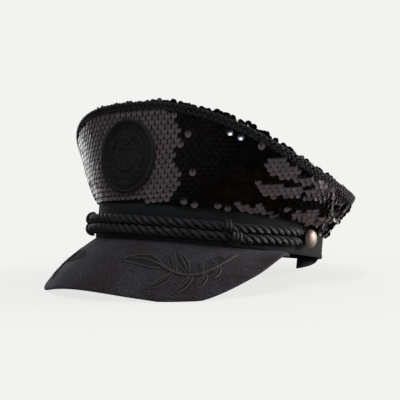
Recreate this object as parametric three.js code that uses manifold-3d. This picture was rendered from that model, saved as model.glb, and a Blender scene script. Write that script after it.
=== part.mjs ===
// Captain hat: a sequinned crown on a cloth band, with a peak, a chin cord held by two buttons,
// a round badge and embroidered sprigs. Millimetres, +Z up, the front towards -Y.
// The hat is built upright round the middle of its band, then leans back as it rests on a table.
import * as THREE from 'three';
import { mergeVertices } from 'three/addons/utils/BufferGeometryUtils.js';
import Module from 'manifold-3d';

const wasm = await Module();
wasm.setup();

// Driving dimensions
const gap = 0.3; // clearance between touching pieces
const turnSteps = 72; // stations round a full turn
const band = { halfWidth: 86, halfLength: 100, height: 27, wall: 2, hem: 3, hemOut: 0.5 };
const rimPlan = { halfWidth: 117.5, front: 103.5, back: 103, squareness: 2.35, slump: 2.9 };
const wall = 2; // cloth of the crown
const braid = { halfHeight: 3.7, halfDepth: 2.4, rolled: 1.6, sides: 8 };
const topPuff = 5; // how far the top panel swells inside the braid
const sweat = { wall: 1.3, top: 21, low: 1, farEnd: -174, nearEnd: 169, droopFrom: 132 };
const peakSheet = { thickness: 2.8, crown: 0.09, seat: 1.2, halfSpan: 87.5 };
const badge = { radius: 28.8, thickness: 2.8, rim: 3, height: 62.5, sides: 32 };
const cord = { radius: 3.55, front: 10.5, back: 12.8, risesFrom: 55, risesTo: 88, sides: 8, pinched: 2.1 };
const knot = { thick: 1.15, halfWidth: 2.6, ends: 62, sides: 6, left: 55.5, right: 43 };
const knotShift = { upper: -2.1, lower: 2.6, slant: 1.6 }; // degrees beside the knot's middle
const button = { azimuth: 99, z: 12.9, radius: 7.3, shank: 1, stand: 5, dome: 4.8 };
const rest = { tilt: 9.8, pressed: 0.8 }; // degrees that the hat leans back, and flattening on the table

// The crown by azimuth from the front: the rim's height, and how the side panel leaves the band
// (lowOut, lowUp) and meets the braid (highOut, highUp), with the depth of its ripples.
const crownRows = [
  { azimuth: 0, rim: 96.9, lowOut: 0.9, lowUp: 22, highOut: 0.9, highUp: 22, ripple: 0 },
  { azimuth: 30, rim: 91.2, lowOut: 8.5, lowUp: 14, highOut: 4.5, highUp: 19, ripple: 0 },
  { azimuth: 60, rim: 69.9, lowOut: 13, lowUp: 9, highOut: 6.5, highUp: 15, ripple: 0.2 },
  { azimuth: 90, rim: 49.2, lowOut: 10, lowUp: 0, highOut: 3, highUp: 9, ripple: 0.5 },
  { azimuth: 120, rim: 40.4, lowOut: 4, lowUp: -13, highOut: 0.3, highUp: 3.5, ripple: 0.6 },
  { azimuth: 150, rim: 38.9, lowOut: 4, lowUp: -9, highOut: 0.3, highUp: 3.5, ripple: 0.6 },
  { azimuth: 180, rim: 37.8, lowOut: 4, lowUp: -3, highOut: 0, highUp: 7, ripple: 0.6 },
];
const ripples = 11; // round the whole crown

// The peak's outer edge by azimuth: how far it stands out from the band, and how far it drops.
const peakRows = [
  { azimuth: 0, out: 42.5, drop: 42.4 },
  { azimuth: 25, out: 37.8, drop: 45.2 },
  { azimuth: 35, out: 37.3, drop: 45.7 },
  { azimuth: 45, out: 36.8, drop: 40.8 },
  { azimuth: 62, out: 30.5, drop: 20.5 },
  { azimuth: 76, out: 19.5, drop: 3 },
  { azimuth: 87.5, out: 2.5, drop: 2.2 },
];

// The embroidered sprig on the peak: places are an azimuth and a share of the way out to the edge.
const stemRows = [
  { azimuth: 58.5, out: 0.33 },
  { azimuth: 49.2, out: 0.53 },
  { azimuth: 41.5, out: 0.62 },
  { azimuth: 33.8, out: 0.59 },
  { azimuth: 25.5, out: 0.44 },
];
const leafRows = [
  { baseAzimuth: 29, baseOut: 0.52, tipAzimuth: 11, tipOut: 0.47, halfWidth: 6.2 },
  { baseAzimuth: 33.8, baseOut: 0.58, tipAzimuth: 29, tipOut: 0.28, halfWidth: 2 },
  { baseAzimuth: 38.5, baseOut: 0.6, tipAzimuth: 32, tipOut: 0.22, halfWidth: 3.4 },
  { baseAzimuth: 43.4, baseOut: 0.6, tipAzimuth: 41, tipOut: 0.38, halfWidth: 2 },
  { baseAzimuth: 48.6, baseOut: 0.54, tipAzimuth: 45.6, tipOut: 0.36, halfWidth: 1.8 },
  { baseAzimuth: 52.6, baseOut: 0.47, tipAzimuth: 48.8, tipOut: 0.29, halfWidth: 1.8 },
  { baseAzimuth: 33, baseOut: 0.58, tipAzimuth: 24.8, tipOut: 0.88, halfWidth: 2.2 },
  { baseAzimuth: 40, baseOut: 0.61, tipAzimuth: 34.6, tipOut: 0.89, halfWidth: 2.2 },
  { baseAzimuth: 45, baseOut: 0.6, tipAzimuth: 41.6, tipOut: 0.84, halfWidth: 2 },
  { baseAzimuth: 50, baseOut: 0.52, tipAzimuth: 47, tipOut: 0.73, halfWidth: 1.7 },
];
const thread = { stem: 1.1, height: 1.1 };

const up = new THREE.Vector3(0, 0, 1);

// A smooth value between the rows of a table, level at its first row
function between(rows, key, at) {
  const x = rows.map((row) => row.azimuth);
  const y = rows.map((row) => row[key]);
  const last = rows.length - 1;
  const slope = (i) => {
    const a = Math.max(i - 1, 0);
    const b = Math.min(i + 1, last);
    return i === 0 ? 0 : (y[b] - y[a]) / (x[b] - x[a]);
  };
  const value = Math.min(Math.max(Math.abs(at), x[0]), x[last]);
  let i = 0;
  while (i < last - 1 && value > x[i + 1]) i += 1;
  const h = x[i + 1] - x[i];
  const t = (value - x[i]) / h;
  const t2 = t * t;
  const t3 = t2 * t;
  return (
    (2 * t3 - 3 * t2 + 1) * y[i] +
    (t3 - 2 * t2 + t) * h * slope(i) +
    (3 * t2 - 2 * t3) * y[i + 1] +
    (t3 - t2) * h * slope(i + 1)
  );
}

const radians = THREE.MathUtils.degToRad;

// The band's outer face at an azimuth in degrees from the front, and the way out from it
function bandPoint(azimuth) {
  const a = radians(azimuth);
  return new THREE.Vector3(band.halfWidth * Math.sin(a), -band.halfLength * Math.cos(a), 0);
}

function bandOut(azimuth) {
  const a = radians(azimuth);
  return new THREE.Vector3(Math.sin(a) / band.halfWidth, -Math.cos(a) / band.halfLength, 0).normalize();
}

// A point beside the band: out from its face, and up from its lower edge
function atBand(azimuth, out, z) {
  return bandPoint(azimuth).addScaledVector(bandOut(azimuth), out).addScaledVector(up, z);
}

// The rim's heights as a cosine series, so that the top panel can hang in it as a membrane
const rimSeries = crownRows.map((_, k) => {
  const last = crownRows.length - 1;
  const weight = (i) => (i === 0 || i === last ? 0.5 : 1);
  const wave = (row, i) => weight(i) * row.rim * Math.cos((Math.PI * i * k) / last);
  return (2 * weight(k) * crownRows.reduce((sum, row, i) => sum + wave(row, i), 0)) / last;
});

function rimHeight(azimuth, share = 1) {
  const tilt = rimPlan.slump * share * Math.sin(radians(azimuth));
  return rimSeries.reduce((z, c, k) => z + c * share ** k * Math.cos(radians(k * azimuth)), tilt);
}

function rimPoint(azimuth) {
  const s = Math.sin(radians(azimuth));
  const c = Math.cos(radians(azimuth));
  const power = c > 0 ? rimPlan.squareness : 2;
  const length = c > 0 ? rimPlan.front : rimPlan.back;
  const k = (Math.abs(s) ** power + Math.abs(c) ** power) ** (-1 / power);
  return new THREE.Vector3(rimPlan.halfWidth * s * k, -length * c * k, rimHeight(azimuth));
}

function rimOut(azimuth) {
  const along = rimPoint(azimuth + 1).sub(rimPoint(azimuth - 1));
  return new THREE.Vector3(along.y, -along.x, 0).normalize();
}

// The outer face of the crown's side from the band, at 0, to the braid, at 1
function sideCurve(azimuth) {
  const row = (key) => between(crownRows, key, azimuth);
  const wave = row('ripple') * Math.cos(radians(azimuth * ripples));
  const start = atBand(azimuth, 0.4, band.height + gap);
  const end = rimPoint(azimuth);
  const low = start.clone().addScaledVector(bandOut(azimuth), row('lowOut') + wave);
  low.z += row('lowUp');
  const high = end.clone().addScaledVector(rimOut(azimuth), wave - row('highOut'));
  high.z -= row('highUp');
  return new THREE.CubicBezierCurve3(start, low, high, end);
}

// The braid's middle, its two half axes and the side panel's direction where it meets it
function braidFrame(azimuth) {
  const out = rimOut(azimuth);
  const climb = sideCurve(azimuth).getTangent(1);
  const roll = braid.rolled * Math.sin(radians(azimuth / 2)) ** 4;
  const long = climb.clone().add(up).addScaledVector(out, roll).normalize();
  const short = out.clone().addScaledVector(long, -out.dot(long)).normalize();
  const reach = (way) => Math.hypot(braid.halfHeight * way.dot(long), braid.halfDepth * way.dot(short));
  const middle = rimPoint(azimuth).addScaledVector(out, -wall / 2);
  middle.addScaledVector(climb, reach(climb) + 2 * gap);
  return { middle, long, short, out, reach };
}

// A closed body through rings of equal count, joined end to end or capped
function loft(rings, closed) {
  const count = rings[0].length;
  const points = rings.flat();
  const triangles = [];
  const last = closed ? rings.length : rings.length - 1;
  for (let i = 0; i < last; i += 1) {
    const a = i * count;
    const b = ((i + 1) % rings.length) * count;
    for (let j = 0; j < count; j += 1) {
      const k = (j + 1) % count;
      triangles.push([a + j, b + j, b + k], [a + j, b + k, a + k]);
    }
  }
  if (!closed) {
    const end = (rings.length - 1) * count;
    for (let j = 1; j < count - 1; j += 1) {
      triangles.push([0, j, j + 1], [end, end + j + 1, end + j]);
    }
  }
  return solidFrom(points, triangles);
}

// Points and triangles as a geometry that faces outwards, without collapsed triangles
function solidFrom(points, triangles) {
  const apart = (i, j) => points[i].distanceTo(points[j]) > 1e-4;
  const kept = triangles.filter(([a, b, c]) => apart(a, b) && apart(b, c) && apart(a, c));
  const volume = kept.reduce((sum, [a, b, c]) => {
    return sum + points[a].dot(points[b].clone().cross(points[c]));
  }, 0);
  const index = kept.flatMap(([a, b, c]) => (volume > 0 ? [a, b, c] : [a, c, b]));
  const geometry = new THREE.BufferGeometry().setFromPoints(points);
  geometry.setIndex(index);
  return mergeVertices(geometry, 1e-4);
}

function turn(section, steps = turnSteps) {
  const rings = [];
  for (let i = 0; i < steps; i += 1) rings.push(section((360 * i) / steps - 180));
  return loft(rings, true);
}

// The same shape on the other side of the hat
function mirrored(geometry) {
  const copy = geometry.clone();
  copy.scale(-1, 1, 1);
  const index = copy.getIndex();
  for (let i = 0; i < index.count; i += 3) {
    const b = index.getX(i + 1);
    index.setX(i + 1, index.getX(i + 2));
    index.setX(i + 2, b);
  }
  return copy;
}

function toSolid(geometry) {
  const bare = geometry.clone();
  bare.deleteAttribute('normal');
  bare.deleteAttribute('uv');
  const merged = mergeVertices(bare, 1e-4);
  const vertProperties = new Float32Array(merged.getAttribute('position').array);
  const triVerts = new Uint32Array(merged.getIndex().array);
  return new wasm.Manifold(new wasm.Mesh({ numProp: 3, vertProperties, triVerts }));
}

function joined(geometries) {
  const solid = geometries.map(toSolid).reduce((all, next) => all.add(next));
  const mesh = solid.getMesh();
  const geometry = new THREE.BufferGeometry();
  geometry.setAttribute('position', new THREE.BufferAttribute(mesh.vertProperties, 3));
  geometry.setIndex(new THREE.BufferAttribute(mesh.triVerts, 1));
  return geometry;
}

// Band: a stiff cloth ring with a turned hem along its lower edge
function bandGeometry() {
  return turn((azimuth) => [
    atBand(azimuth, band.hemOut, 0),
    atBand(azimuth, band.hemOut, band.hem - band.hemOut),
    atBand(azimuth, 0, band.hem),
    atBand(azimuth, 0, band.height),
    atBand(azimuth, -band.wall, band.height),
    atBand(azimuth, -band.wall, 0),
  ]);
}

// Crown side: sewn to the band's upper edge, fuller and slumped towards the back
function crownSideGeometry() {
  const rows = 7;
  return turn((azimuth) => {
    const curve = sideCurve(azimuth);
    const outer = [];
    const inner = [];
    for (let i = 0; i <= rows; i += 1) {
      const t = i / rows;
      const out = bandOut(azimuth).lerp(rimOut(azimuth), t).normalize();
      const along = curve.getTangent(t);
      const inward = out.clone().multiplyScalar(-along.z).addScaledVector(up, along.dot(out)).normalize();
      const point = curve.getPoint(t);
      outer.push(point);
      inner.unshift(point.clone().addScaledVector(inward, wall));
    }
    return [...outer, ...inner];
  });
}

// Crown top: a slack panel that hangs in the braid, swollen just inside it
function crownTopGeometry() {
  const rows = 6;
  const seam = (azimuth) => {
    const { middle, out, reach } = braidFrame(azimuth);
    return middle.addScaledVector(out, -reach(out) - gap).addScaledVector(up, braid.halfHeight / 2);
  };
  const lift = (azimuth) => seam(azimuth).z - rimHeight(azimuth);
  const meanLift = (lift(0) + 2 * lift(90) + lift(180)) / 4;
  return turn((azimuth) => {
    const edge = seam(azimuth);
    const upper = [];
    const lower = [];
    for (let i = 0; i <= rows; i += 1) {
      const share = Math.sin((Math.PI / 2) * (i / rows));
      const z =
        rimHeight(azimuth, share) +
        THREE.MathUtils.lerp(meanLift, lift(azimuth), share ** 4) +
        topPuff * share ** 2 * (1 - share ** 6);
      upper.push(new THREE.Vector3(edge.x * share, edge.y * share, z));
      lower.unshift(new THREE.Vector3(edge.x * share, edge.y * share, z - wall));
    }
    return [...upper, ...lower];
  });
}

// Braid: a flattened woven edging round the rim
function braidGeometry() {
  return turn((azimuth) => {
    const { middle, long, short } = braidFrame(azimuth);
    const ring = [];
    for (let i = 0; i < braid.sides; i += 1) {
      const a = (2 * Math.PI * (i + 0.5)) / braid.sides;
      const point = middle.clone().addScaledVector(long, braid.halfHeight * Math.cos(a));
      ring.push(point.addScaledVector(short, braid.halfDepth * Math.sin(a)));
    }
    return ring;
  });
}

// The peak's sheet in its upright section: a point and the way up from its upper face
function peakPoint(azimuth, share, side = 1) {
  const out = between(peakRows, 'out', azimuth);
  const drop = between(peakRows, 'drop', azimuth);
  const half = peakSheet.thickness / 2;
  const chord = new THREE.Vector2(out + peakSheet.seat, half - drop);
  const way = chord.clone().normalize();
  const normal = new THREE.Vector2(-way.y, way.x);
  const start = new THREE.Vector2(-peakSheet.seat, -2 * gap - half * normal.y);
  const end = new THREE.Vector2(out, -drop).addScaledVector(way, -half);
  const middle = start.clone().add(end).multiplyScalar(0.5);
  middle.addScaledVector(normal, peakSheet.crown * chord.length());
  const curve = new THREE.QuadraticBezierCurve(start, middle, end);
  const point = curve.getPoint(share).addScaledVector(normal, side * half);
  return atBand(azimuth, point.x, point.y);
}

function peakNormal(azimuth, share) {
  const across = peakPoint(azimuth + 1, share).sub(peakPoint(azimuth - 1, share));
  const along = peakPoint(azimuth, share + 0.02).sub(peakPoint(azimuth, share - 0.02));
  return along.cross(across).normalize();
}

// Peak: a curved stiffened sheet with a rounded edge
function peakGeometry() {
  const steps = 42;
  const rows = 5;
  const rings = [];
  for (let i = 0; i <= steps; i += 1) {
    const azimuth = peakSheet.halfSpan * Math.sin((Math.PI / 2) * (-1 + (2 * i) / steps) * 0.999);
    const upper = [];
    const lower = [];
    for (let j = 0; j <= rows; j += 1) {
      upper.push(peakPoint(azimuth, j / rows));
      lower.unshift(peakPoint(azimuth, j / rows, -1));
    }
    const edge = peakPoint(azimuth, 1, 0);
    const inside = peakPoint(azimuth, 0.97, 0);
    const nose = edge.clone().add(edge.clone().sub(inside).setLength(peakSheet.thickness / 2));
    rings.push([...upper, nose, ...lower]);
  }
  return loft(rings, false);
}

// One raised satin-stitched strip on the peak between two places, as a low ridge
function stitchedStrip(places, halfWidthAt, height) {
  const rings = places.map(({ azimuth, out }, i) => {
    const before = places[Math.max(i - 1, 0)];
    const after = places[Math.min(i + 1, places.length - 1)];
    const along = peakPoint(after.azimuth, after.out).sub(peakPoint(before.azimuth, before.out));
    const normal = peakNormal(azimuth, out);
    const across = along.normalize().cross(normal).normalize();
    const half = halfWidthAt(i / (places.length - 1));
    const foot = peakPoint(azimuth, out);
    const at = (side, lift) => {
      return foot.clone().addScaledVector(across, side * half).addScaledVector(normal, lift);
    };
    const flat = 0.55; // share of the width that the ridge's level top takes
    return [at(-1, gap), at(-flat, gap + height), at(flat, gap + height), at(1, gap)];
  });
  return loft(rings, false);
}

function sprigGeometry() {
  const stemPlaces = stemRows.map((row) => new THREE.Vector2(row.azimuth, row.out));
  const stem = new THREE.SplineCurve(stemPlaces).getPoints(10).map((p) => ({ azimuth: p.x, out: p.y }));
  const strips = [stitchedStrip(stem, () => thread.stem, thread.height)];
  for (const leaf of leafRows) {
    const steps = 5;
    const places = [];
    for (let i = 0; i <= steps; i += 1) {
      const t = i / steps;
      places.push({
        azimuth: THREE.MathUtils.lerp(leaf.baseAzimuth, leaf.tipAzimuth, t),
        out: THREE.MathUtils.lerp(leaf.baseOut, leaf.tipOut, t),
      });
    }
    const halfWidth = (t) => 0.35 + leaf.halfWidth * Math.sin(Math.PI * t ** 0.85);
    strips.push(stitchedStrip(places, halfWidth, thread.height - 0.1));
  }
  return joined(strips);
}

// Badge: a padded disc with a raised edge, flat against the stiff front of the crown
function badgeGeometry() {
  const { radius, thickness, rim } = badge;
  const profile = [
    [0, 0],
    [radius - 0.6, 0],
    [radius, 0.6],
    [radius, thickness - 0.8],
    [radius - 0.8, thickness],
    [radius - rim, thickness],
    [radius - rim - 0.6, thickness - 0.7],
    [0, thickness - 0.3],
  ];
  return closedLathe(profile, badge.sides);
}

// A turned body whose profile runs from the axis to the axis, with its axis along +Y turned to +Z
function closedLathe(profile, sides) {
  const points = profile.map(([r, h]) => new THREE.Vector2(r, h));
  const geometry = new THREE.LatheGeometry(points, sides);
  geometry.rotateX(Math.PI / 2);
  geometry.deleteAttribute('normal');
  geometry.deleteAttribute('uv');
  return mergeVertices(geometry, 1e-4);
}

// The height of the valley between the chin cord's two runs, which hang a little at the front
function cordLevel(azimuth) {
  const risen = THREE.MathUtils.smoothstep(Math.abs(azimuth), cord.risesFrom, cord.risesTo);
  return THREE.MathUtils.lerp(cord.front, cord.back, risen);
}

// Chin cord: one whole loop, its two runs one above the other round the front, turned round the
// buttons' shanks, where it is pinched flat under their domes
function cordPath() {
  const { radius, pinched } = cord;
  const path = [];
  const turnRadius = button.shank + gap + pinched;
  const squeeze = 7.5; // degrees over which the cord thins towards a button
  const runs = [
    { side: -1, from: -1 },
    { side: 1, from: 1 },
  ];
  const steps = 34;
  const shankArc = 4;
  for (const run of runs) {
    for (let i = 0; i <= steps; i += 1) {
      const azimuth = run.from * button.azimuth * Math.sin((Math.PI / 2) * (1 - (2 * i) / steps) * 0.985);
      const thin = button.azimuth - 3;
      const near = THREE.MathUtils.smoothstep(Math.abs(azimuth), thin - squeeze, thin);
      const r = THREE.MathUtils.lerp(radius, pinched, near);
      const free = cordLevel(azimuth) + run.side * (radius + gap / 2);
      const z = THREE.MathUtils.lerp(free, button.z + run.side * turnRadius, near);
      path.push({ point: atBand(azimuth, gap + r, z), r });
    }
    const end = -run.from;
    const degree = radians(1) * band.halfWidth;
    for (let i = 0; i <= shankArc; i += 1) {
      const a = (Math.PI * (i + 0.5)) / (shankArc + 1);
      const z = button.z + run.side * turnRadius * Math.cos(a);
      const azimuth = end * (button.azimuth + (turnRadius * Math.sin(a)) / degree);
      path.push({ point: atBand(azimuth, gap + pinched, z), r: pinched });
    }
  }
  return path;
}

function cordGeometry() {
  const path = cordPath();
  const rings = path.map(({ point, r }, i) => {
    const before = path[(i + path.length - 1) % path.length].point;
    const after = path[(i + 1) % path.length].point;
    const along = after.clone().sub(before).normalize();
    const angle = Math.atan2(point.x / band.halfWidth, -point.y / band.halfLength);
    const out = bandOut(THREE.MathUtils.radToDeg(angle));
    const side = along.clone().cross(out).normalize();
    const ring = [];
    for (let j = 0; j < cord.sides; j += 1) {
      const a = (2 * Math.PI * (j + 0.5)) / cord.sides;
      ring.push(point.clone().addScaledVector(out, r * Math.cos(a)).addScaledVector(side, r * Math.sin(a)));
    }
    return ring;
  });
  return loft(rings, true);
}

// Slip knot: a flat turn of cord over each run, joined in the valley between the runs. The upper
// turn stands upright, and the lower one beside it slants.
function knotGeometry(place) {
  const { radius } = cord;
  const { thick, halfWidth, sides, ends } = knot;
  const reach = radius + gap + thick;
  const valley = THREE.MathUtils.radToDeg(Math.asin((radius + gap / 2) / reach));
  const steps = 7;
  const path = [];
  for (let i = 0; i < steps; i += 1) {
    const angle = THREE.MathUtils.lerp(ends, -valley, i / steps);
    path.push({ run: 1, angle, shift: knotShift.upper });
  }
  path.push({ run: 1, angle: -valley, facing: 0, shift: 0 });
  for (let i = 1; i <= steps; i += 1) {
    const t = i / steps;
    const angle = THREE.MathUtils.lerp(valley, -ends, t);
    path.push({ run: -1, angle, shift: knotShift.lower - knotShift.slant * t });
  }
  const rings = path.map(({ run, angle, shift, facing = angle }) => {
    const azimuth = place + shift;
    const z = cordLevel(azimuth) + run * (radius + gap / 2);
    const out = bandOut(azimuth);
    const beside = new THREE.Vector3().crossVectors(up, out);
    const a = radians(angle);
    const middle = atBand(azimuth, gap + radius + reach * Math.cos(a), z + reach * Math.sin(a));
    const away = out.clone().multiplyScalar(Math.cos(radians(facing)));
    away.addScaledVector(up, Math.sin(radians(facing)));
    const ring = [];
    for (let j = 0; j < sides; j += 1) {
      const b = (2 * Math.PI * j) / sides;
      const point = middle.clone().addScaledVector(away, thick * Math.cos(b));
      ring.push(point.addScaledVector(beside, halfWidth * Math.sin(b)));
    }
    return ring;
  });
  return loft(rings, false);
}

// Button: a domed metal cap on a shank that the cord's loop goes round
function buttonGeometry() {
  const { radius, shank, stand, dome } = button;
  const profile = [
    [0, 0],
    [shank, 0],
    [shank, stand],
    [radius - 0.4, stand],
    [radius, stand + 0.5],
    [radius * 0.93, stand + dome * 0.5],
    [radius * 0.7, stand + dome * 0.82],
    [radius * 0.38, stand + dome * 0.96],
    [0, stand + dome],
  ];
  return closedLathe(profile, 20);
}

// Sweatband: a strip inside the band, open at the back, whose near end hangs down
function sweatbandGeometry(hang) {
  const steps = 60;
  const rings = [];
  const outer = -band.wall - gap;
  for (let i = 0; i <= steps; i += 1) {
    const azimuth = THREE.MathUtils.lerp(sweat.farEnd, sweat.nearEnd, i / steps);
    const slack = Math.max(0, (azimuth - sweat.droopFrom) / (sweat.nearEnd - sweat.droopFrom));
    const low = THREE.MathUtils.lerp(sweat.low, hang, slack);
    rings.push([
      atBand(azimuth, outer, low),
      atBand(azimuth, outer, sweat.top),
      atBand(azimuth, outer - sweat.wall, sweat.top),
      atBand(azimuth, outer - sweat.wall, low),
    ]);
  }
  return loft(rings, false);
}

// The table under the leaning hat: how far below the band's middle it lies, square to itself
const lean = radians(rest.tilt);
const depthBelow = (point) => point.y * Math.sin(lean) - point.z * Math.cos(lean);
const peakSolid = peakGeometry();
let peakDepth = 0;
const corner = new THREE.Vector3();
for (let i = 0; i < peakSolid.getAttribute('position').count; i += 1) {
  corner.fromBufferAttribute(peakSolid.getAttribute('position'), i);
  peakDepth = Math.max(peakDepth, depthBelow(corner));
}
const tableDepth = peakDepth - rest.pressed;
const hangEnd = atBand(sweat.nearEnd, -band.wall - gap - sweat.wall / 2, 0);
const hang = (hangEnd.y * Math.sin(lean) - peakDepth) / Math.cos(lean);

// Flattens what would go into the table
function pressed(geometry) {
  const position = geometry.getAttribute('position');
  for (let i = 0; i < position.count; i += 1) {
    corner.fromBufferAttribute(position, i);
    const sunk = depthBelow(corner) - tableDepth;
    if (sunk > 0) {
      corner.y -= sunk * Math.sin(lean);
      corner.z += sunk * Math.cos(lean);
      position.setXYZ(i, corner.x, corner.y, corner.z);
    }
  }
  return geometry;
}

const finish = (color, roughness, metalness = 0) => {
  return new THREE.MeshStandardMaterial({ color, roughness, metalness });
};
const finishes = {
  sequins: finish('#5d545a', 0.35, 0.3),
  braid: finish('#1d1d1e', 0.8),
  cloth: finish('#232426', 0.85),
  lining: finish('#26282a', 0.6),
  suede: finish('#322f33', 0.95),
  satin: finish('#29282a', 0.6),
  cord: finish('#1b1b1c', 0.55),
  metal: finish('#c8bcb4', 0.2, 1),
};

function piece(name, geometry, material) {
  geometry.computeVertexNormals();
  const mesh = new THREE.Mesh(geometry, material);
  mesh.name = name;
  return mesh;
}

// A piece that stands on the band, facing out at an azimuth
function facingOut(mesh, azimuth, z) {
  const out = bandOut(azimuth);
  const side = new THREE.Vector3().crossVectors(up, out);
  mesh.quaternion.setFromRotationMatrix(new THREE.Matrix4().makeBasis(side, up, out));
  mesh.position.copy(atBand(azimuth, gap, z));
  return mesh;
}

const hat = new THREE.Group();
hat.add(piece('band', bandGeometry(), finishes.cloth));
hat.add(piece('sweatband', pressed(sweatbandGeometry(hang)), finishes.lining));
hat.add(piece('crown_side', crownSideGeometry(), finishes.sequins));
hat.add(piece('crown_top', crownTopGeometry(), finishes.sequins));
hat.add(piece('braid_trim', braidGeometry(), finishes.braid));
hat.add(piece('peak', pressed(peakSolid), finishes.suede));
hat.add(piece('chin_cord', cordGeometry(), finishes.cord));

const sprig = sprigGeometry();
hat.add(piece('sprig_left', sprig, finishes.satin));
hat.add(piece('sprig_right', mirrored(sprig), finishes.satin));

hat.add(piece('knot_left', knotGeometry(knot.left), finishes.cord));
hat.add(piece('knot_right', mirrored(knotGeometry(knot.right)), finishes.cord));

hat.add(facingOut(piece('button_left', buttonGeometry(), finishes.metal), button.azimuth, button.z));
hat.add(facingOut(piece('button_right', buttonGeometry(), finishes.metal), -button.azimuth, button.z));

// The badge lies on the straight middle line of the crown's front
const frontLine = rimPoint(0).sub(atBand(0, 0.4, band.height + gap));
const badgeMesh = piece('badge', badgeGeometry(), finishes.satin);
const badgeUp = frontLine.clone().normalize();
const badgeOut = new THREE.Vector3(0, -badgeUp.z, badgeUp.y);
const badgeSide = new THREE.Vector3(1, 0, 0);
badgeMesh.quaternion.setFromRotationMatrix(new THREE.Matrix4().makeBasis(badgeSide, badgeUp, badgeOut));
const upFront = (badge.height - band.height - gap) / frontLine.z;
badgeMesh.position.copy(atBand(0, 0.4, band.height + gap).addScaledVector(frontLine, upFront));
badgeMesh.position.addScaledVector(badgeOut, gap);
hat.add(badgeMesh);

// Leaning back on the table, with the middle of the whole over the origin
hat.rotation.x = -lean;
hat.updateMatrixWorld(true);
const box = new THREE.Box3().setFromObject(hat, true);
hat.position.set(-(box.min.x + box.max.x) / 2, -(box.min.y + box.max.y) / 2, -box.min.z);

const captainHat = new THREE.Group();
captainHat.add(hat);
export default captainHat;
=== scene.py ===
"""Captain hat with a sequinned crown, which leans back on a table on its peak and its sweatband's end.

The hat is described upright in millimetres round the middle of its band, with its front towards -Y,
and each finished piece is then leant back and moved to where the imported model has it, in metres.
"""
import math

import bpy
import numpy as np
from mathutils import Matrix, Vector


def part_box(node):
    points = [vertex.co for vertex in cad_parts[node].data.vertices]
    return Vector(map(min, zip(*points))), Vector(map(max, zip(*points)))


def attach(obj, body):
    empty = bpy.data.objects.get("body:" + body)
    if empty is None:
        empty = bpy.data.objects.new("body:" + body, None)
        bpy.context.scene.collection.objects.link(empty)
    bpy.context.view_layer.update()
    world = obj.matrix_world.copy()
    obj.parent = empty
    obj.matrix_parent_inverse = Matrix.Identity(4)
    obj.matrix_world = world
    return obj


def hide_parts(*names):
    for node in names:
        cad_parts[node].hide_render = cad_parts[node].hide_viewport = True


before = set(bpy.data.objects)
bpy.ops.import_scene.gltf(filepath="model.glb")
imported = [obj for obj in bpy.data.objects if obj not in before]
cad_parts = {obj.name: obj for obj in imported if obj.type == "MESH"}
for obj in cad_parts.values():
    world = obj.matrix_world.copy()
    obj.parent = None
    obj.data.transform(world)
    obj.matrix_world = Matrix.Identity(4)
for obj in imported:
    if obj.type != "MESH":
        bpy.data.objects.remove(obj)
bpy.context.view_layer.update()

bl_info = {
    "name": "Captain Hat",
    "version": (1, 0, 0),
    "blender": (4, 5, 0),
    "location": "View3D > Sidebar > Captain Hat",
    "description": "Builds the cloth, sequins, cord, badge and peak of a captain hat",
    "category": "Object",
}

MM = 0.001

# The hat's forms, in millimetres and in degrees round the band from the front
LEAN = math.radians(9.8)
GAP = 0.3
BAND_X, BAND_Y, BAND_TOP, BAND_WALL = 86.0, 100.0, 27.0, 2.0
RIM_X, RIM_FRONT, RIM_BACK, RIM_SQUARE, RIM_SLUMP = 117.5, 103.5, 103.0, 2.35, 2.9
CROWN_WALL = 2.0
BRAID_HALF, BRAID_DEPTH, BRAID_ROLLED = 3.7, 2.4, 1.6
TOP_PUFF = 5.0
PEAK_THICK, PEAK_CROWN, PEAK_SEAT, PEAK_SPAN = 2.8, 0.09, 1.2, 87.5
BADGE_RADIUS, BADGE_THICK, BADGE_HEIGHT = 28.8, 2.8, 62.5
CORD_RADIUS, CORD_FRONT, CORD_BACK, CORD_PINCHED = 3.55, 10.5, 12.8, 2.1
CORD_APART = CORD_RADIUS + GAP / 2
BUTTON_AZIMUTH, BUTTON_Z, BUTTON_RADIUS = 99.0, 12.9, 7.3
BUTTON_STAND, BUTTON_DOME, BUTTON_SHANK = 5.0, 4.8, 1.0
SEQUIN_HANG = 1.5  # from a sequin's sewing hole down to its middle
SEWN_OUT = 0.35  # from the cloth out to the sewing holes
CLOTH_THICK = 0.0014  # of the crown's net, in metres
SWEAT_TOP, SWEAT_LOW, SWEAT_FAR, SWEAT_NEAR, SWEAT_DROOP = 21.0, 1.0, -174.0, 169.0, 132.0

# azimuth, rim height, then how the side leaves the band and meets the braid, and its ripple
CROWN_ROWS = np.array([
    (0, 96.9, 0.9, 22, 0.9, 22, 0),
    (30, 91.2, 8.5, 14, 4.5, 19, 0),
    (60, 69.9, 13, 9, 6.5, 15, 0.2),
    (90, 49.2, 10, 0, 3, 9, 0.5),
    (120, 40.4, 4, -13, 0.3, 3.5, 0.6),
    (150, 38.9, 4, -9, 0.3, 3.5, 0.6),
    (180, 37.8, 4, -3, 0, 7, 0.6),
])
# azimuth, and how far the peak's edge stands out from the band and drops
PEAK_ROWS = np.array([
    (0, 42.5, 42.4), (25, 37.8, 45.2), (35, 37.3, 45.7), (45, 36.8, 40.8), (62, 30.5, 20.5), (76, 19.5, 3),
    (87.5, 2.5, 2.2),
])
# azimuth and share of the way out, along the sprig's stem
STEM_ROWS = np.array([(58.5, 0.33), (49.2, 0.53), (41.5, 0.62), (33.8, 0.59), (25.5, 0.44)])
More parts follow.
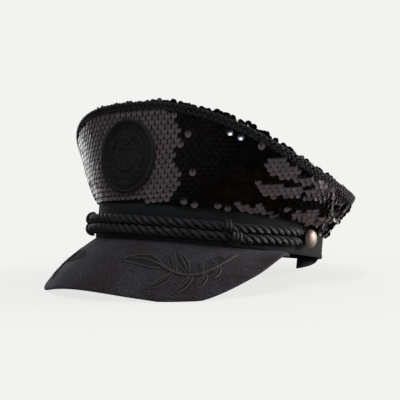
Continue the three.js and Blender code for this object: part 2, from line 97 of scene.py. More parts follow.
# each leaf: azimuth and share at its foot, at its tip, and its half width
LEAF_ROWS = (
    (29, 0.52, 11, 0.47, 6.2), (33.8, 0.58, 29, 0.28, 2.5), (38.5, 0.6, 32, 0.22, 3.9),
    (43.4, 0.6, 41, 0.38, 2.5), (48.6, 0.54, 45.6, 0.36, 2.2), (52.6, 0.47, 48.8, 0.29, 2.2),
    (33, 0.58, 24.8, 0.88, 2.9), (40, 0.61, 34.6, 0.89, 2.8), (45, 0.6, 41.6, 0.84, 2.5),
    (50, 0.52, 47, 0.73, 2.2),
)
UP = np.array([0.0, 0.0, 1.0])
LEANT = np.array([
    (1, 0, 0), (0, math.cos(LEAN), math.sin(LEAN)), (0, -math.sin(LEAN), math.cos(LEAN)),
])


def linear(code):
    """An sRGB hex colour as linear red, green and blue."""
    parts = [int(code[i:i + 2], 16) / 255 for i in (1, 3, 5)]
    return tuple(c / 12.92 if c <= 0.04045 else ((c + 0.055) / 1.055) ** 2.4 for c in parts)


def unit(vectors):
    return vectors / np.linalg.norm(vectors, axis=-1, keepdims=True)


def square(vectors, way):
    """Unit vectors turned square to unit ways."""
    return unit(vectors - way * np.sum(vectors * way, -1, keepdims=True))


def smooth(value, low, high):
    """A rise from 0 at low to 1 at high, with soft ends."""
    t = np.clip((value - low) / (high - low), 0, 1)
    return t * t * (3 - 2 * t)


def between(rows, column, at):
    """A smooth value between the rows of a table, level at its first row."""
    x, y = rows[:, 0], rows[:, column]
    slope = np.zeros(len(x))
    slope[1:-1] = (y[2:] - y[:-2]) / (x[2:] - x[:-2])
    slope[-1] = (y[-1] - y[-2]) / (x[-1] - x[-2])
    value = np.clip(np.abs(at), x[0], x[-1])
    i = np.clip(np.searchsorted(x, value) - 1, 0, len(x) - 2)
    h = x[i + 1] - x[i]
    t = (value - x[i]) / h
    start, finish = 2 * t**3 - 3 * t**2 + 1, 3 * t**2 - 2 * t**3
    leaving, arriving = (t**3 - 2 * t**2 + t) * h * slope[i], (t**3 - t**2) * h * slope[i + 1]
    return start * y[i] + leaving + finish * y[i + 1] + arriving


def band_point(azimuth):
    a = np.radians(azimuth)
    return np.stack([BAND_X * np.sin(a), -BAND_Y * np.cos(a), 0 * a], -1)


def band_out(azimuth):
    a = np.radians(azimuth)
    return unit(np.stack([np.sin(a) / BAND_X, -np.cos(a) / BAND_Y, 0 * a], -1))


def at_band(azimuth, out, z):
    """Points beside the band: out from its face, and up from its lower edge."""
    azimuth, out, z = np.broadcast_arrays(np.asarray(azimuth, float), out, z)
    return band_point(azimuth) + band_out(azimuth) * out[..., None] + UP * z[..., None]


def rim_waves():
    """The rim's heights as a cosine series, so that the top can hang in it."""
    last = len(CROWN_ROWS) - 1
    ends = np.where(np.isin(np.arange(last + 1), (0, last)), 0.5, 1.0)
    steps = np.arange(last + 1)
    return np.array([
        2 * ends[k] * np.sum(ends * CROWN_ROWS[:, 1] * np.cos(np.pi * steps * k / last)) / last
        for k in range(last + 1)
    ])


RIM_WAVES = rim_waves()


def rim_height(azimuth, share=1.0):
    a = np.radians(azimuth)
    waves = sum(c * share**k * np.cos(k * a) for k, c in enumerate(RIM_WAVES))
    return waves + RIM_SLUMP * share * np.sin(a)


def rim_point(azimuth):
    s, c = np.sin(np.radians(azimuth)), np.cos(np.radians(azimuth))
    power = np.where(c > 0, RIM_SQUARE, 2.0)
    length = np.where(c > 0, RIM_FRONT, RIM_BACK)
    k = (np.abs(s) ** power + np.abs(c) ** power) ** (-1 / power)
    return np.stack([RIM_X * s * k, -length * c * k, rim_height(azimuth)], -1)


def rim_out(azimuth):
    along = rim_point(azimuth + 1) - rim_point(azimuth - 1)
    return unit(np.stack([along[..., 1], -along[..., 0], 0 * azimuth], -1))


def taut_side_point(azimuth, t):
    """The outer face of the crown's side drawn tight, from the band, at 0, to the braid, at 1."""
    azimuth, t = np.broadcast_arrays(np.asarray(azimuth, float), np.asarray(t, float))
    azimuth = (azimuth + 180) % 360 - 180
    wave = between(CROWN_ROWS, 6, azimuth) * np.cos(np.radians(azimuth * 11))
    start = at_band(azimuth, 0.4, BAND_TOP + GAP)
    end = rim_point(azimuth)
    low = start + band_out(azimuth) * (between(CROWN_ROWS, 2, azimuth) + wave)[..., None]
    low = low + UP * between(CROWN_ROWS, 3, azimuth)[..., None]
    high = end + rim_out(azimuth) * (wave - between(CROWN_ROWS, 4, azimuth))[..., None]
    high = high - UP * between(CROWN_ROWS, 5, azimuth)[..., None]
    s, r = t[..., None], 1 - t[..., None]
    return r**3 * start + 3 * r**2 * s * low + 3 * r * s**2 * high + s**3 * end


def side_point(azimuth, t):
    """The outer face of the crown's side, which is slack behind the ears and falls there in soft folds."""
    azimuth, t = np.broadcast_arrays(np.asarray(azimuth, float), np.asarray(t, float))
    clipped = np.clip(t, 0, 1)
    loose = smooth(np.abs(azimuth), 84, 108)
    a = np.radians(azimuth)
    folds = 1.5 * np.sin(17 * a + 5.0 * t) + 1.2 * np.sin(29 * a - 7.5 * t + 1.0)
    sag = 4.2 * np.sin(np.pi * clipped**0.6) ** 2
    inward = band_out(azimuth) * (loose * np.sin(np.pi * clipped) * (7.0 - folds))[..., None]
    return taut_side_point(azimuth, t) - inward - UP * (loose * sag)[..., None]


def grain_tilt(azimuth):
    """How much the straight rows of the side's cloth climb as they run round it."""
    right = smooth(azimuth, -25, 80) * (1 - smooth(azimuth, 90, 130))
    left = smooth(-azimuth, 35, 95) * (1 - smooth(-azimuth, 95, 130))
    return 0.38 * (right - left)


def braid_frame(azimuth):
    """The braid's middle, its long and short ways, and the way out."""
    out = rim_out(azimuth)
    edge, below = np.ones_like(azimuth), np.full_like(azimuth, 0.99)
    climb = unit(taut_side_point(azimuth, edge) - taut_side_point(azimuth, below))
    roll = BRAID_ROLLED * np.sin(np.radians(azimuth / 2)) ** 4
    long = unit(climb + UP + out * roll[..., None])
    short = square(out, long)

    def reach(way):
        return np.hypot(BRAID_HALF * np.sum(way * long, -1), BRAID_DEPTH * np.sum(way * short, -1))[..., None]

    middle = rim_point(azimuth) - out * CROWN_WALL / 2 + climb * (reach(climb) + 2 * GAP)
    return middle, long, short, out, reach(out)


def top_seam(azimuth):
    middle, _, _, out, reach = braid_frame(azimuth)
    return middle - out * (reach + GAP) + UP * BRAID_HALF / 2


def top_lift(azimuth):
    return top_seam(azimuth)[..., 2] - rim_height(azimuth)


TURN = np.linspace(-180.0, 180.0, 721)
SEAM = top_seam(TURN)
SEAM_WAY = np.unwrap(np.arctan2(SEAM[:, 0], -SEAM[:, 1]))
SEAM_REACH = np.hypot(SEAM[:, 0], SEAM[:, 1])
FRONT_LIFT, SIDE_LIFT, BACK_LIFT = [top_lift(np.array([azimuth]))[0] for azimuth in (0.0, 90.0, 180.0)]
MEAN_LIFT = float((FRONT_LIFT + 2 * SIDE_LIFT + BACK_LIFT) / 4)


def top_height(azimuth, share):
    sag = MEAN_LIFT + (top_lift(azimuth) - MEAN_LIFT) * share**4
    return rim_height(azimuth, share) + sag + TOP_PUFF * share**2 * (1 - share**6)


def top_place(x, y):
    """Azimuth and share of the way to the seam for places seen from above."""
    way = np.arctan2(x, -y)
    azimuth = np.interp(way, SEAM_WAY, TURN)
    return azimuth, np.hypot(x, y) / np.interp(way, SEAM_WAY, SEAM_REACH)


def top_point(x, y):
    azimuth, share = top_place(x, y)
    z = top_height(azimuth, np.clip(share, 0, 1))
    return np.stack([x, y, z], -1)


def peak_point(azimuth, share, side=1.0):
    """A point of the peak's sheet: upper face at side 1, under face at side -1."""
    azimuth, share, side = np.broadcast_arrays(np.asarray(azimuth, float), share, side)
    out, drop = between(PEAK_ROWS, 1, azimuth), between(PEAK_ROWS, 2, azimuth)
    half = PEAK_THICK / 2
    chord = np.stack([out + PEAK_SEAT, half - drop], -1)
    length = np.linalg.norm(chord, axis=-1, keepdims=True)
    way = chord / length
    normal = np.stack([-way[..., 1], way[..., 0]], -1)
    start = np.stack([np.full_like(out, -PEAK_SEAT), -2 * GAP - half * normal[..., 1]], -1)
    end = np.stack([out, -drop], -1) - way * half
    middle = (start + end) / 2 + normal * PEAK_CROWN * length
    t = share[..., None]
    point = (1 - t) ** 2 * start + 2 * t * (1 - t) * middle + t**2 * end + normal * side[..., None] * half
    return at_band(azimuth, point[..., 0], point[..., 1])


def peak_normal(azimuth, share):
    across = peak_point(azimuth + 0.5, share) - peak_point(azimuth - 0.5, share)
    along = peak_point(azimuth, share + 0.01) - peak_point(azimuth, share - 0.01)
    return unit(np.cross(along, across))


def seat_shift():
    """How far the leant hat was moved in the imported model, from where its band is."""
    azimuth = 360 * np.arange(72) / 72 - 180
    corners = [(0.5, 0), (0.5, 2.5), (0, 3), (0, BAND_TOP), (-BAND_WALL, BAND_TOP), (-BAND_WALL, 0)]
    leant = np.concatenate([at_band(azimuth, out, z) for out, z in corners]) @ LEANT.T
    return np.array(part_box("band")[0]) / MM - leant.min(0)


SHIFT = seat_shift()


def seated(points):
    """Points of the upright hat in millimetres, where the resting hat has them, in metres."""
    return (np.asarray(points) @ LEANT.T + SHIFT) * MM


def upright_place(place):
    """A place in the studio in metres, in the upright hat's frame."""
    return (place / MM - SHIFT) @ LEANT


SEATED = Matrix.Translation(Vector(SHIFT * MM)) @ Matrix(LEANT.tolist()).to_4x4()


# Settings

def length(name, description, default, low, high):
    return bpy.props.FloatProperty(
        name=name, description=description, default=default, min=low, max=high, unit="LENGTH", precision=4)


def colour(name, description, code):
    return bpy.props.FloatVectorProperty(
        name=name, description=description, default=linear(code), size=3, min=0, max=1, subtype="COLOR")


class HatSizes(bpy.types.PropertyGroup):
    """Sizes that change how the hat is sewn and trimmed"""

    sequin: length("Sequin", "Diameter of one sequin", 0.0055, 0.003, 0.012)
    sequin_column: length("Sequin spacing", "From one sequin to the next in a row", 0.0059, 0.003, 0.015)
    sequin_row: length("Row spacing", "From one row of sequins to the next", 0.0038, 0.002, 0.01)
    cord_turn: length("Cord turn", "Length in which a strand goes once round the cord", 0.0202, 0.008, 0.04)
    braid_stitch: length("Braid stitch", "Length of one chevron of the braid", 0.0046, 0.002, 0.008)
    satin_thread: length("Satin thread", "Spacing of the embroidery's threads", 0.0012, 0.0002, 0.002)


class HatColours(bpy.types.PropertyGroup):
    """Colours of the hat's cloth and trimmings"""

    sequin_mauve: colour("Sequin back", "Matt side of the sequins", "#584c4d")
    sequin_black: colour("Sequin face", "Glossy side of the sequins", "#080706")
    band: colour("Band", "Woven cloth of the band", "#161717")
    lining: colour("Lining", "Smooth lining inside the band", "#0b0d0c")
    suede: colour("Peak", "Brushed cloth of the peak", "#353134")
    braid: colour("Braid", "Threads of the braid round the rim", "#15110f")
    cord: colour("Chin cord", "Threads of the chin cord", "#1b1b1b")
    satin: colour("Embroidery", "Threads of the badge and the leaves", "#282625")
    couched: colour("Couched cord", "Thin cord that outlines the leaves", "#574f4c")
    button: colour("Buttons", "Plated metal of the buttons", "#aa978a")
    floor: colour("Floor", "Pale table and backdrop", "#f3f2f0")


def sizes():
    return bpy.context.scene.hat_sizes


def colours():
    return bpy.context.scene.hat_colours


# Modelling

def alone(piece):
    """Makes a piece the only selected and the active object."""
    bpy.ops.object.select_all(action="DESELECT")
    piece.select_set(True)
    bpy.context.view_layer.objects.active = piece


def weld(piece, distance=0.00002):
    """Merges the doubles of a piece and turns its faces outwards."""
    alone(piece)
    bpy.ops.object.mode_set(mode="EDIT")
    bpy.ops.mesh.select_all(action="SELECT")
    bpy.ops.mesh.remove_doubles(threshold=distance)
    bpy.ops.mesh.normals_make_consistent(inside=False)
    bpy.ops.object.mode_set(mode="OBJECT")


def joined(name, parts):
    """Several parts as one piece."""
    alone(parts[0])
    for part in parts:
        part.select_set(True)
    if len(parts) > 1:
        bpy.ops.object.join()
    piece = bpy.context.view_layer.objects.active
    piece.name = piece.data.name = name
    return piece


def shaded(piece, angle=40):
    """Smooth shading with the edges sharper than an angle kept."""
    alone(piece)
    bpy.ops.object.shade_smooth_by_angle(angle=math.radians(angle))
    return piece


def started(name, primitive, **settings):
    """A new primitive, named and alone selected, that is to be shaped."""
    bpy.ops.object.select_all(action="DESELECT")
    primitive(**settings)
    piece = bpy.context.view_layer.objects.active
    piece.name = piece.data.name = name
    return piece


def coordinates(mesh):
    flat = np.empty(len(mesh.vertices) * 3, np.float32)
    mesh.vertices.foreach_get("co", flat)
    return flat.reshape(-1, 3).astype(float)


def move_to(mesh, points):
    """Moves a mesh's vertices to points in metres."""
    mesh.vertices.foreach_set("co", points.astype(np.float32).ravel())
    mesh.update()


def uv_values(layer):
    uv = np.empty(len(layer.data) * 2, np.float32)
    layer.data.foreach_get("uv", uv)
    return uv.reshape(-1, 2)


def laid_grid(name, columns, rows, place, spread=(1.0, 1.0), welded=True, lowest=None):
    """A grid laid where place(u, v) says, with a UV map of the given size, in millimetres."""
    piece = started(
        name, bpy.ops.mesh.primitive_grid_add, x_subdivisions=columns, y_subdivisions=rows, size=1)
    flat = coordinates(piece.data)
    points = seated(place(np.clip(flat[:, 0] + 0.5, 0, 1), np.clip(flat[:, 1] + 0.5, 0, 1)))
    if lowest is not None:
        points[:, 2] = np.maximum(points[:, 2], lowest)
    move_to(piece.data, points)
    layer = piece.data.uv_layers[0]
    layer.data.foreach_set("uv", (uv_values(layer) * np.array(spread, np.float32)).ravel())
    if welded:
        weld(piece)
    return piece


def wall(piece, thickness, offset=-1.0):
    """Gives an open surface its thickness."""
    alone(piece)
    solid = piece.modifiers.new("wall", "SOLIDIFY")
    solid.thickness = thickness
    solid.offset = offset
    bpy.ops.object.modifier_apply(modifier=solid.name)


def travel(path):
    """How far along a path each of its points is."""
    return np.concatenate([[0], np.cumsum(np.linalg.norm(np.diff(path, axis=0), axis=1))])


def path_length(path):
    return float(np.linalg.norm(np.diff(path, axis=0), axis=1).sum())


def along_path(path, closed):
    """Unit directions along a path of points."""
    if closed:
        step = np.roll(path[:-1], -1, 0) - np.roll(path[:-1], 1, 0)
        return unit(np.concatenate([step, step[:1]]))
    return unit(np.gradient(path, axis=0))


def tube(name, path, facing, thick, wide, sides, closed=False):
    """A strand along a path: thick towards facing and wide across it. Each may change along the path."""
    along = along_path(path, closed)
    side = unit(np.cross(along, facing))
    facing = np.cross(side, along)
    thick, wide = np.broadcast_to(thick, len(path)), np.broadcast_to(wide, len(path))

    def place(u, v):
        i = np.rint(u * (len(path) - 1)).astype(int)
        a = 2 * np.pi * v
        away = facing[i] * (thick[i] * np.cos(a))[:, None]
        return path[i] + away + side[i] * (wide[i] * np.sin(a))[:, None]

    round_about = np.pi * float(np.mean(thick) + np.mean(wide))
    return laid_grid(name, len(path) - 1, sides, place, (path_length(path), round_about))


def rounded_ends(t):
    """The width along a strand or stroke, from 0 at its ends to 1."""
    return np.clip(np.minimum(t, 1 - t) / 0.06, 0, 1) ** 0.5


def ridge(name, path, normal, half_width, height, rows=10, groove=0.0, foot=0.1):
    """A low padded ridge of stitching along a path, with a flat back."""
    along = along_path(path, False)
    across = unit(np.cross(along, normal))
    half_width = np.broadcast_to(half_width, len(path))
    fall = np.sqrt(half_width / half_width.max())
    upper = 0.75  # the share of the section that is the padded face, and the rest is the back

    def place(u, v):
        i = np.rint(u * (len(path) - 1)).astype(int)
        over = v <= upper
        w = np.where(over, 2 * v / upper - 1, 1 - 2 * (v - upper) / (1 - upper))
        rounded = (1 - np.abs(w) ** 2.6) ** 0.55
        lift = height * fall[i] * rounded * (1 - groove * np.exp(-((w / 0.17) ** 2)))
        # at both ends the section shrinks to a point, and its last row closes on its first
        lift = np.where(over | (v > 0.999), np.where(fall[i] > 0, foot, 0.0) + lift, 0.0)
        return path[i] + across[i] * (w * half_width[i])[:, None] + normal[i] * lift[:, None]

    return laid_grid(name, len(path) - 1, rows, place, (path_length(path), 4 * float(half_width.max())))


def turned(name, stations, sides):
    """A ring drawn as a circle and extruded through stations of half width, half length and height."""
    wide, deep, level = stations[0]
    piece = started(name, bpy.ops.mesh.primitive_circle_add, vertices=sides, radius=1, fill_type="NOTHING")
    bpy.ops.object.mode_set(mode="EDIT")
    bpy.ops.mesh.select_all(action="SELECT")
    bpy.ops.transform.resize(value=(wide * MM, deep * MM, 1), center_override=(0, 0, 0))
    bpy.ops.transform.translate(value=(0, 0, level * MM))
    for (w0, d0, z0), (w1, d1, z1) in zip(stations, stations[1:]):
        bpy.ops.mesh.extrude_region_move(TRANSFORM_OT_translate={"value": (0, 0, (z1 - z0) * MM)})
        bpy.ops.transform.resize(value=(w1 / w0, d1 / d0, 1), center_override=(0, 0, z1 * MM))
    bpy.ops.object.mode_set(mode="OBJECT")
    return piece


def capped(piece):
    """Closes the open ends of a turned piece."""
    alone(piece)
    bpy.ops.object.mode_set(mode="EDIT")
    bpy.ops.mesh.select_all(action="DESELECT")
    bpy.ops.mesh.select_non_manifold()
    bpy.ops.mesh.edge_face_add()
    bpy.ops.object.mode_set(mode="OBJECT")
    weld(piece)


def dressed(piece, slot, *materials):
    """Gives a finished piece its materials and its body. Its slot is not used."""
    for material in materials:
        piece.data.materials.append(material)
    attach(piece, "root")
    return piece


# Materials

# A mix node's inputs 0, 6 and 7 are its factor and its two colours, and its output 2 is what they make.

def add(tree, kind, inputs=None, **settings):
    """Adds a node with its settings. Each input is a value, or the socket or node that it is linked to."""
    node = tree.nodes.new("ShaderNode" + kind)
    for key, value in settings.items():
        setattr(node, key, value)
    for key, value in (inputs or {}).items():
        if isinstance(value, bpy.types.Node):
            value = value.outputs[2 if value.bl_idname == "ShaderNodeMix" else 0]
        if isinstance(value, bpy.types.NodeSocket):
            tree.links.new(value, node.inputs[key])
        else:
            node.inputs[key].default_value = value
    return node


def new_material(name):
    """An empty material and its node tree."""
    material = bpy.data.materials.new(name)
    material.use_nodes = True
    material.node_tree.nodes.clear()
    return material, material.node_tree


def surfaced(material, inputs):
    """Ends a material with its surface."""
    tree = material.node_tree
    add(tree, "OutputMaterial", {0: add(tree, "BsdfPrincipled", inputs)})
    return material


def rgba(values, factor=1.0):
    return (*[c * factor for c in values], 1.0)


def tinted(values, tint):
    return [c * t for c, t in zip(values, tint)]


def upright(tree):
    """Object coordinates turned back to the upright hat, in metres from the middle of its band."""
    place = add(tree, "TexCoord").outputs["Object"]
    moved = add(tree, "VectorMath", {0: place, 1: tuple(SHIFT * MM)}, operation="SUBTRACT")
    return add(tree, "Mapping", {"Vector": moved, "Rotation": (LEAN, 0, 0)})


def ribs(tree, value, pitch):
    """A rounded wave from 0 to 1 that repeats every pitch of a value."""
    turns = add(tree, "Math", {0: value, 1: 2 * math.pi / pitch}, operation="MULTIPLY")
    wave = add(tree, "Math", {0: turns}, operation="SINE")
    return add(tree, "Math", {0: wave, 1: 0.5, 2: 0.5}, operation="MULTIPLY_ADD")


def gabardine_woven():
    """Polyester gabardine, woven: matt cloth with a fine steep twill that only shows close by, its ridges
    carrying a painted highlight.
    """
    material, tree = new_material("gabardine_woven")
    place = upright(tree)
    parts = add(tree, "SeparateXYZ", {0: place}).outputs
    angle = add(tree, "Math", {0: parts[0], 1: parts[1]}, operation="ARCTAN2")
    around = add(tree, "Math", {0: angle, 1: (BAND_X + BAND_Y) / 2 * MM}, operation="MULTIPLY")
    slope = add(tree, "Math", {0: parts[2], 1: 0.6, 2: around}, operation="MULTIPLY_ADD")
    # real twill lines are 0.4 mm apart, drawn coarser so that they show
    twill = ribs(tree, slope, 0.0009)
    cloudy = add(tree, "TexNoise", {"Vector": place, "Scale": 90.0, "Detail": 3.0})
    base = colours().band
    shade = add(tree, "Mix", {0: cloudy, 6: rgba(base, 0.8), 7: rgba(base, 1.25)}, data_type="RGBA")
    # the twill's ridges are painted lighter: a painted highlight on the weave
    shade = add(tree, "Mix", {0: twill, 6: shade, 7: rgba(base, 1.35)}, data_type="RGBA")
    bump = add(tree, "Bump", {"Height": twill, "Distance": 0.00012, "Strength": 0.7})
    return surfaced(material, {
        "Base Color": shade, "Roughness": 0.82, "Normal": bump, "Sheen Weight": 0.03,
        "Sheen Roughness": 0.5, "Specular IOR Level": 0.2})


def satin_lining():
    """Acetate lining, woven and calendered: smooth with a low soft shine."""
    material, tree = new_material("acetate_lining_calendered")
    place = upright(tree)
    cloudy = add(tree, "TexNoise", {"Vector": place, "Scale": 60.0, "Detail": 2.0})
    # real threads are 0.2 mm apart, drawn coarser so that they show
    threads = ribs(tree, add(tree, "SeparateXYZ", {0: place}).outputs[2], 0.0008)
    base = colours().lining
    shade = add(tree, "Mix", {0: cloudy, 6: rgba(base, 0.85), 7: rgba(base, 1.2)}, data_type="RGBA")
    bump = add(tree, "Bump", {"Height": threads, "Distance": 0.00004, "Strength": 0.5})
    return surfaced(material, {
        "Base Color": shade, "Roughness": 0.5, "Normal": bump, "Specular IOR Level": 0.35})


def suede_brushed():
    """Microfibre suede, brushed: velvety, its nap in cloudy brown and blue patches and a fine grain."""
    material, tree = new_material("microfibre_suede_brushed")
    place = upright(tree)
    cloudy = add(tree, "TexNoise", {"Vector": place, "Scale": 30.0, "Detail": 4.0, "Roughness": 0.6})
    # fibres of 0.1 mm are drawn in tufts of about 1 mm so that they show
    tufts = add(tree, "TexNoise", {"Vector": place, "Scale": 900.0, "Detail": 3.0, "Roughness": 0.7})
    base = colours().suede
    patch = add(tree, "MapRange", {"Value": cloudy, "From Min": 0.38, "From Max": 0.62})
    brown = rgba(tinted(base, (1.0, 0.86, 0.78)), 0.78)
    blue = rgba(tinted(base, (0.95, 0.98, 1.05)), 1.12)
    shade = add(tree, "Mix", {0: patch, 6: brown, 7: blue}, data_type="RGBA")
    grain = add(tree, "MapRange", {
        "Value": tufts, "From Min": 0.36, "From Max": 0.64, "To Min": 0.4, "To Max": 1.75})
    shade = add(tree, "VectorMath", {0: shade, "Scale": grain}, operation="SCALE")
    bump = add(tree, "Bump", {"Height": tufts, "Distance": 0.0006, "Strength": 0.9})
    return surfaced(material, {
        "Base Color": shade, "Roughness": 0.95, "Normal": bump, "Sheen Weight": 0.1,
        "Sheen Roughness": 0.45, "Sheen Tint": (0.62, 0.6, 0.62, 1.0), "Specular IOR Level": 0.15})


def thread_shades(tree, base, slant, pitch, low, high, groove, scale, detail):
    """Slanting threads on a piece's UV map, in millimetres: their shade, painted darker in the grooves
    between them as painted shade, and their height.
    """
    parts = add(tree, "SeparateXYZ", {0: add(tree, "TexCoord").outputs["UV"]}).outputs
    slope = add(tree, "Math", {0: parts[1], 1: slant, 2: parts[0]}, operation="MULTIPLY_ADD")
    threads = ribs(tree, slope, pitch)
    place = add(tree, "TexCoord").outputs["Object"]
    uneven = add(tree, "TexNoise", {"Vector": place, "Scale": scale, "Detail": detail})
    shade = add(tree, "Mix", {0: uneven, 6: rgba(base, low), 7: rgba(base, high)}, data_type="RGBA")
    # the grooves between the threads are painted darker: painted shade
    shade = add(tree, "Mix", {0: threads, 6: rgba(base, groove), 7: shade}, data_type="RGBA")
    return shade, threads, parts


def twisted_thread(name, base, pitch, slant, roughness, depth, sheen, round_about=0.0):
    """Viscose thread, spun and twisted: fine slanting plies with a silky light along each and painted shade
    between them.
    """
    material, tree = new_material(name)
    shade, plies, parts = thread_shades(
        tree, base, slant, pitch, low=0.7, high=1.3, groove=0.45, scale=160.0, detail=3.0)
    if round_about:
        # the strands press together; painted shade darkens the grooves between them and a painted highlight
        # lightens their crests
        turn = add(tree, "Math", {0: parts[1], 1: 2 * math.pi / round_about}, operation="MULTIPLY")
        height = add(tree, "Math", {0: turn}, operation="COSINE")
        retoned_thread = add(tree, "MapRange", {
            "Value": height, "From Min": 0.3, "From Max": 0.95, "To Min": 0.08, "To Max": 3.0})
        shade = add(tree, "VectorMath", {0: shade, "Scale": retoned_thread}, operation="SCALE")
    bump = add(tree, "Bump", {"Height": plies, "Distance": depth, "Strength": 0.9})
    return surfaced(material, {
        "Base Color": shade, "Roughness": roughness, "Normal": bump, "Sheen Weight": sheen,
        "Sheen Roughness": 0.35, "Specular IOR Level": 0.38})


def satin_stitched(name, base, roughness, specular=0.18):
    """Rayon embroidery thread, satin stitched: close parallel threads that shine across the stitch, with
    painted shade between them.
    """
    material, tree = new_material(name)
    pitch = sizes().satin_thread / MM
    shade, threads, _ = thread_shades(
        tree, base, 0.35, pitch, low=0.75, high=1.35, groove=0.4, scale=300.0, detail=2.0)
    bump = add(tree, "Bump", {"Height": threads, "Distance": 0.0003, "Strength": 0.9})
    return surfaced(material, {
        "Base Color": shade, "Roughness": roughness, "Normal": bump, "Specular IOR Level": specular})


def sequin_film(name, base, roughness, specular, spread, tint, cup_depth):
    """Polyester film, punched and cupped: each disc has its own tone and catches the light at one edge, with
    painted shade round its sewing hole and at its cut edge, and drifting painted reflections.
    """
    material, tree = new_material(name)
    place = add(tree, "TexCoord").outputs
    across = sizes().sequin / MM
    cup = add(tree, "VectorMath", {0: place["UV"], 1: (0.5, 0.5, 0.0)}, operation="DISTANCE").outputs["Value"]
    bowl = add(tree, "Math", {0: cup, 1: 2.0}, operation="POWER")
    drift = add(tree, "TexNoise", {"Vector": place["Object"], "Scale": 32.0, "Detail": 2.0})
    drift = add(tree, "MapRange", {"Value": drift, "From Min": 0.38, "From Max": 0.62})
    # brown and blue tints drifting over the film are painted reflections of the surroundings
    opposite = [1 / t for t in tint]
    painted_reflection_tint = add(tree, "Mix", {
        0: drift, 6: rgba(tinted(base, tint)), 7: rgba(tinted(base, opposite))}, data_type="RGBA")
    tone = add(tree, "Attribute", attribute_name="tone").outputs["Fac"]
    shade = add(tree, "MapRange", {"Value": tone, "To Min": 1 - spread, "To Max": 1 + spread})
    # dark thread fills the sewing hole; painted shadow darkens the film round it, where the discs above
    # overlap it, and painted shade darkens its cut edge
    eye = (0.5, 0.5 + SEQUIN_HANG / across, 0.0)
    hole = add(tree, "VectorMath", {0: place["UV"], 1: eye}, operation="DISTANCE").outputs["Value"]
    thread = (hole, 0.6 / across, 0.95 / across, 0.1)
    painted_overlap_shadow = (hole, 0.9 / across, 3.4 / across, 0.62)
    rim = (cup, 0.49, 0.41, 0.5)
    for distance, low, high, dark in (thread, painted_overlap_shadow, rim):
        part = add(tree, "MapRange", {
            "Value": distance, "From Min": low, "From Max": high, "To Min": dark, "To Max": 1.0})
        shade = add(tree, "Math", {0: shade, 1: part}, operation="MULTIPLY")
    shade = add(tree, "VectorMath", {0: painted_reflection_tint, "Scale": shade}, operation="SCALE")
    dull = add(tree, "MapRange", {
        "Value": hole, "From Min": 0.7 / across, "From Max": 1.0 / across, "To Min": 1.0,
        "To Max": roughness})
    bump = add(tree, "Bump", {"Height": bowl, "Distance": cup_depth, "Strength": 1.0})
    return surfaced(material, {
        "Base Color": shade, "Roughness": dull, "Normal": bump, "Specular IOR Level": specular})


def backing_mesh():
    """Nylon net, knitted: dull black ground that the sequins are sewn to."""
    material, tree = new_material("nylon_net_knitted")
    cells = add(tree, "TexVoronoi", {"Vector": upright(tree), "Scale": 900.0})
    dark, pale = rgba(linear("#050505")), rgba(linear("#121112"))
    shade = add(tree, "Mix", {0: cells, 6: dark, 7: pale}, data_type="RGBA")
    bump = add(tree, "Bump", {"Height": cells, "Distance": 0.0002, "Strength": 0.6})
    return surfaced(material, {
        "Base Color": shade, "Roughness": 0.9, "Normal": bump, "Specular IOR Level": 0.2})


def nickel_plated():
    """Nickel plated brass, polished: a pale metal, softly blurred by wear from handling."""
    material, tree = new_material("nickel_plated_polished")
    rub = add(tree, "TexNoise", {"Vector": upright(tree), "Scale": 500.0, "Detail": 4.0})
    rough = add(tree, "MapRange", {"Value": rub, "To Min": 0.46, "To Max": 0.6})
    base = colours().button
    shade = add(tree, "Mix", {0: rub, 6: rgba(base, 0.85), 7: rgba(base)}, data_type="RGBA")
    return surfaced(material, {"Base Color": shade, "Metallic": 0.65, "Roughness": rough})


# Pieces

class HAT_OT_band(bpy.types.Operator):
    """Sew the cloth band with its turned hem"""

    bl_idname = "captain_hat.band"
    bl_label = "Band"

    def execute(self, context):
        inner, hem, edge = 0.1 - BAND_WALL, -0.45, BAND_TOP - 0.6
        profile = [
            (inner, 0.0), (-1.3, hem), (0.1, hem), (0.5, 0.2), (0.6, 1.4), (0.5, 2.4), (0.1, 2.9), (0.0, 3.2),
            (0.0, 9), (0.0, 15), (0.0, 21), (0.0, edge), (-0.4, BAND_TOP), (-1.6, BAND_TOP), (inner, edge),
            (inner, 14), (inner, 0.0),
        ]
        piece = turned("cloth_band", [(BAND_X + out, BAND_Y + out, z) for out, z in profile], 160)
        weld(piece)
        piece.data.transform(SEATED)
        shaded(piece, 50)
        dressed(piece, "band_cloth", gabardine_woven())
        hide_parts("band")
        return {"FINISHED"}


class HAT_OT_sweatband(bpy.types.Operator):
    """Hang the lining strip inside the band, open at the back"""

    bl_idname = "captain_hat.sweatband"
    bl_label = "Sweatband"

    def execute(self, context):
        outer, wave, waves = -BAND_WALL - GAP, 0.25, 42
        clear, thick = 0.0001, 0.0011  # off the table, and of the cloth, in metres

        def place(u, v):
            azimuth = SWEAT_FAR + (SWEAT_NEAR - SWEAT_FAR) * u
            slack = np.clip((azimuth - SWEAT_DROOP) / (SWEAT_NEAR - SWEAT_DROOP), 0, 1)
            foot = at_band(azimuth, outer, 0.0)
            table = (foot[:, 1] * math.sin(LEAN) - SHIFT[2]) / math.cos(LEAN)
            low = SWEAT_LOW + (table - SWEAT_LOW) * slack
            inward = outer - wave * np.sin(np.radians(azimuth * waves / 2)) ** 2 * (1 - v)
            return at_band(azimuth, inward, low + (SWEAT_TOP - low) * v)

        piece = laid_grid("lining_strip", 160, 6, place, (560, 20), lowest=clear)
        wall(piece, thick)
        points = coordinates(piece.data)
        points[:, 2] = np.maximum(points[:, 2], clear)
        move_to(piece.data, points)
        shaded(piece, 40)
        dressed(piece, "lining", satin_lining())
        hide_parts("sweatband")
        return {"FINISHED"}


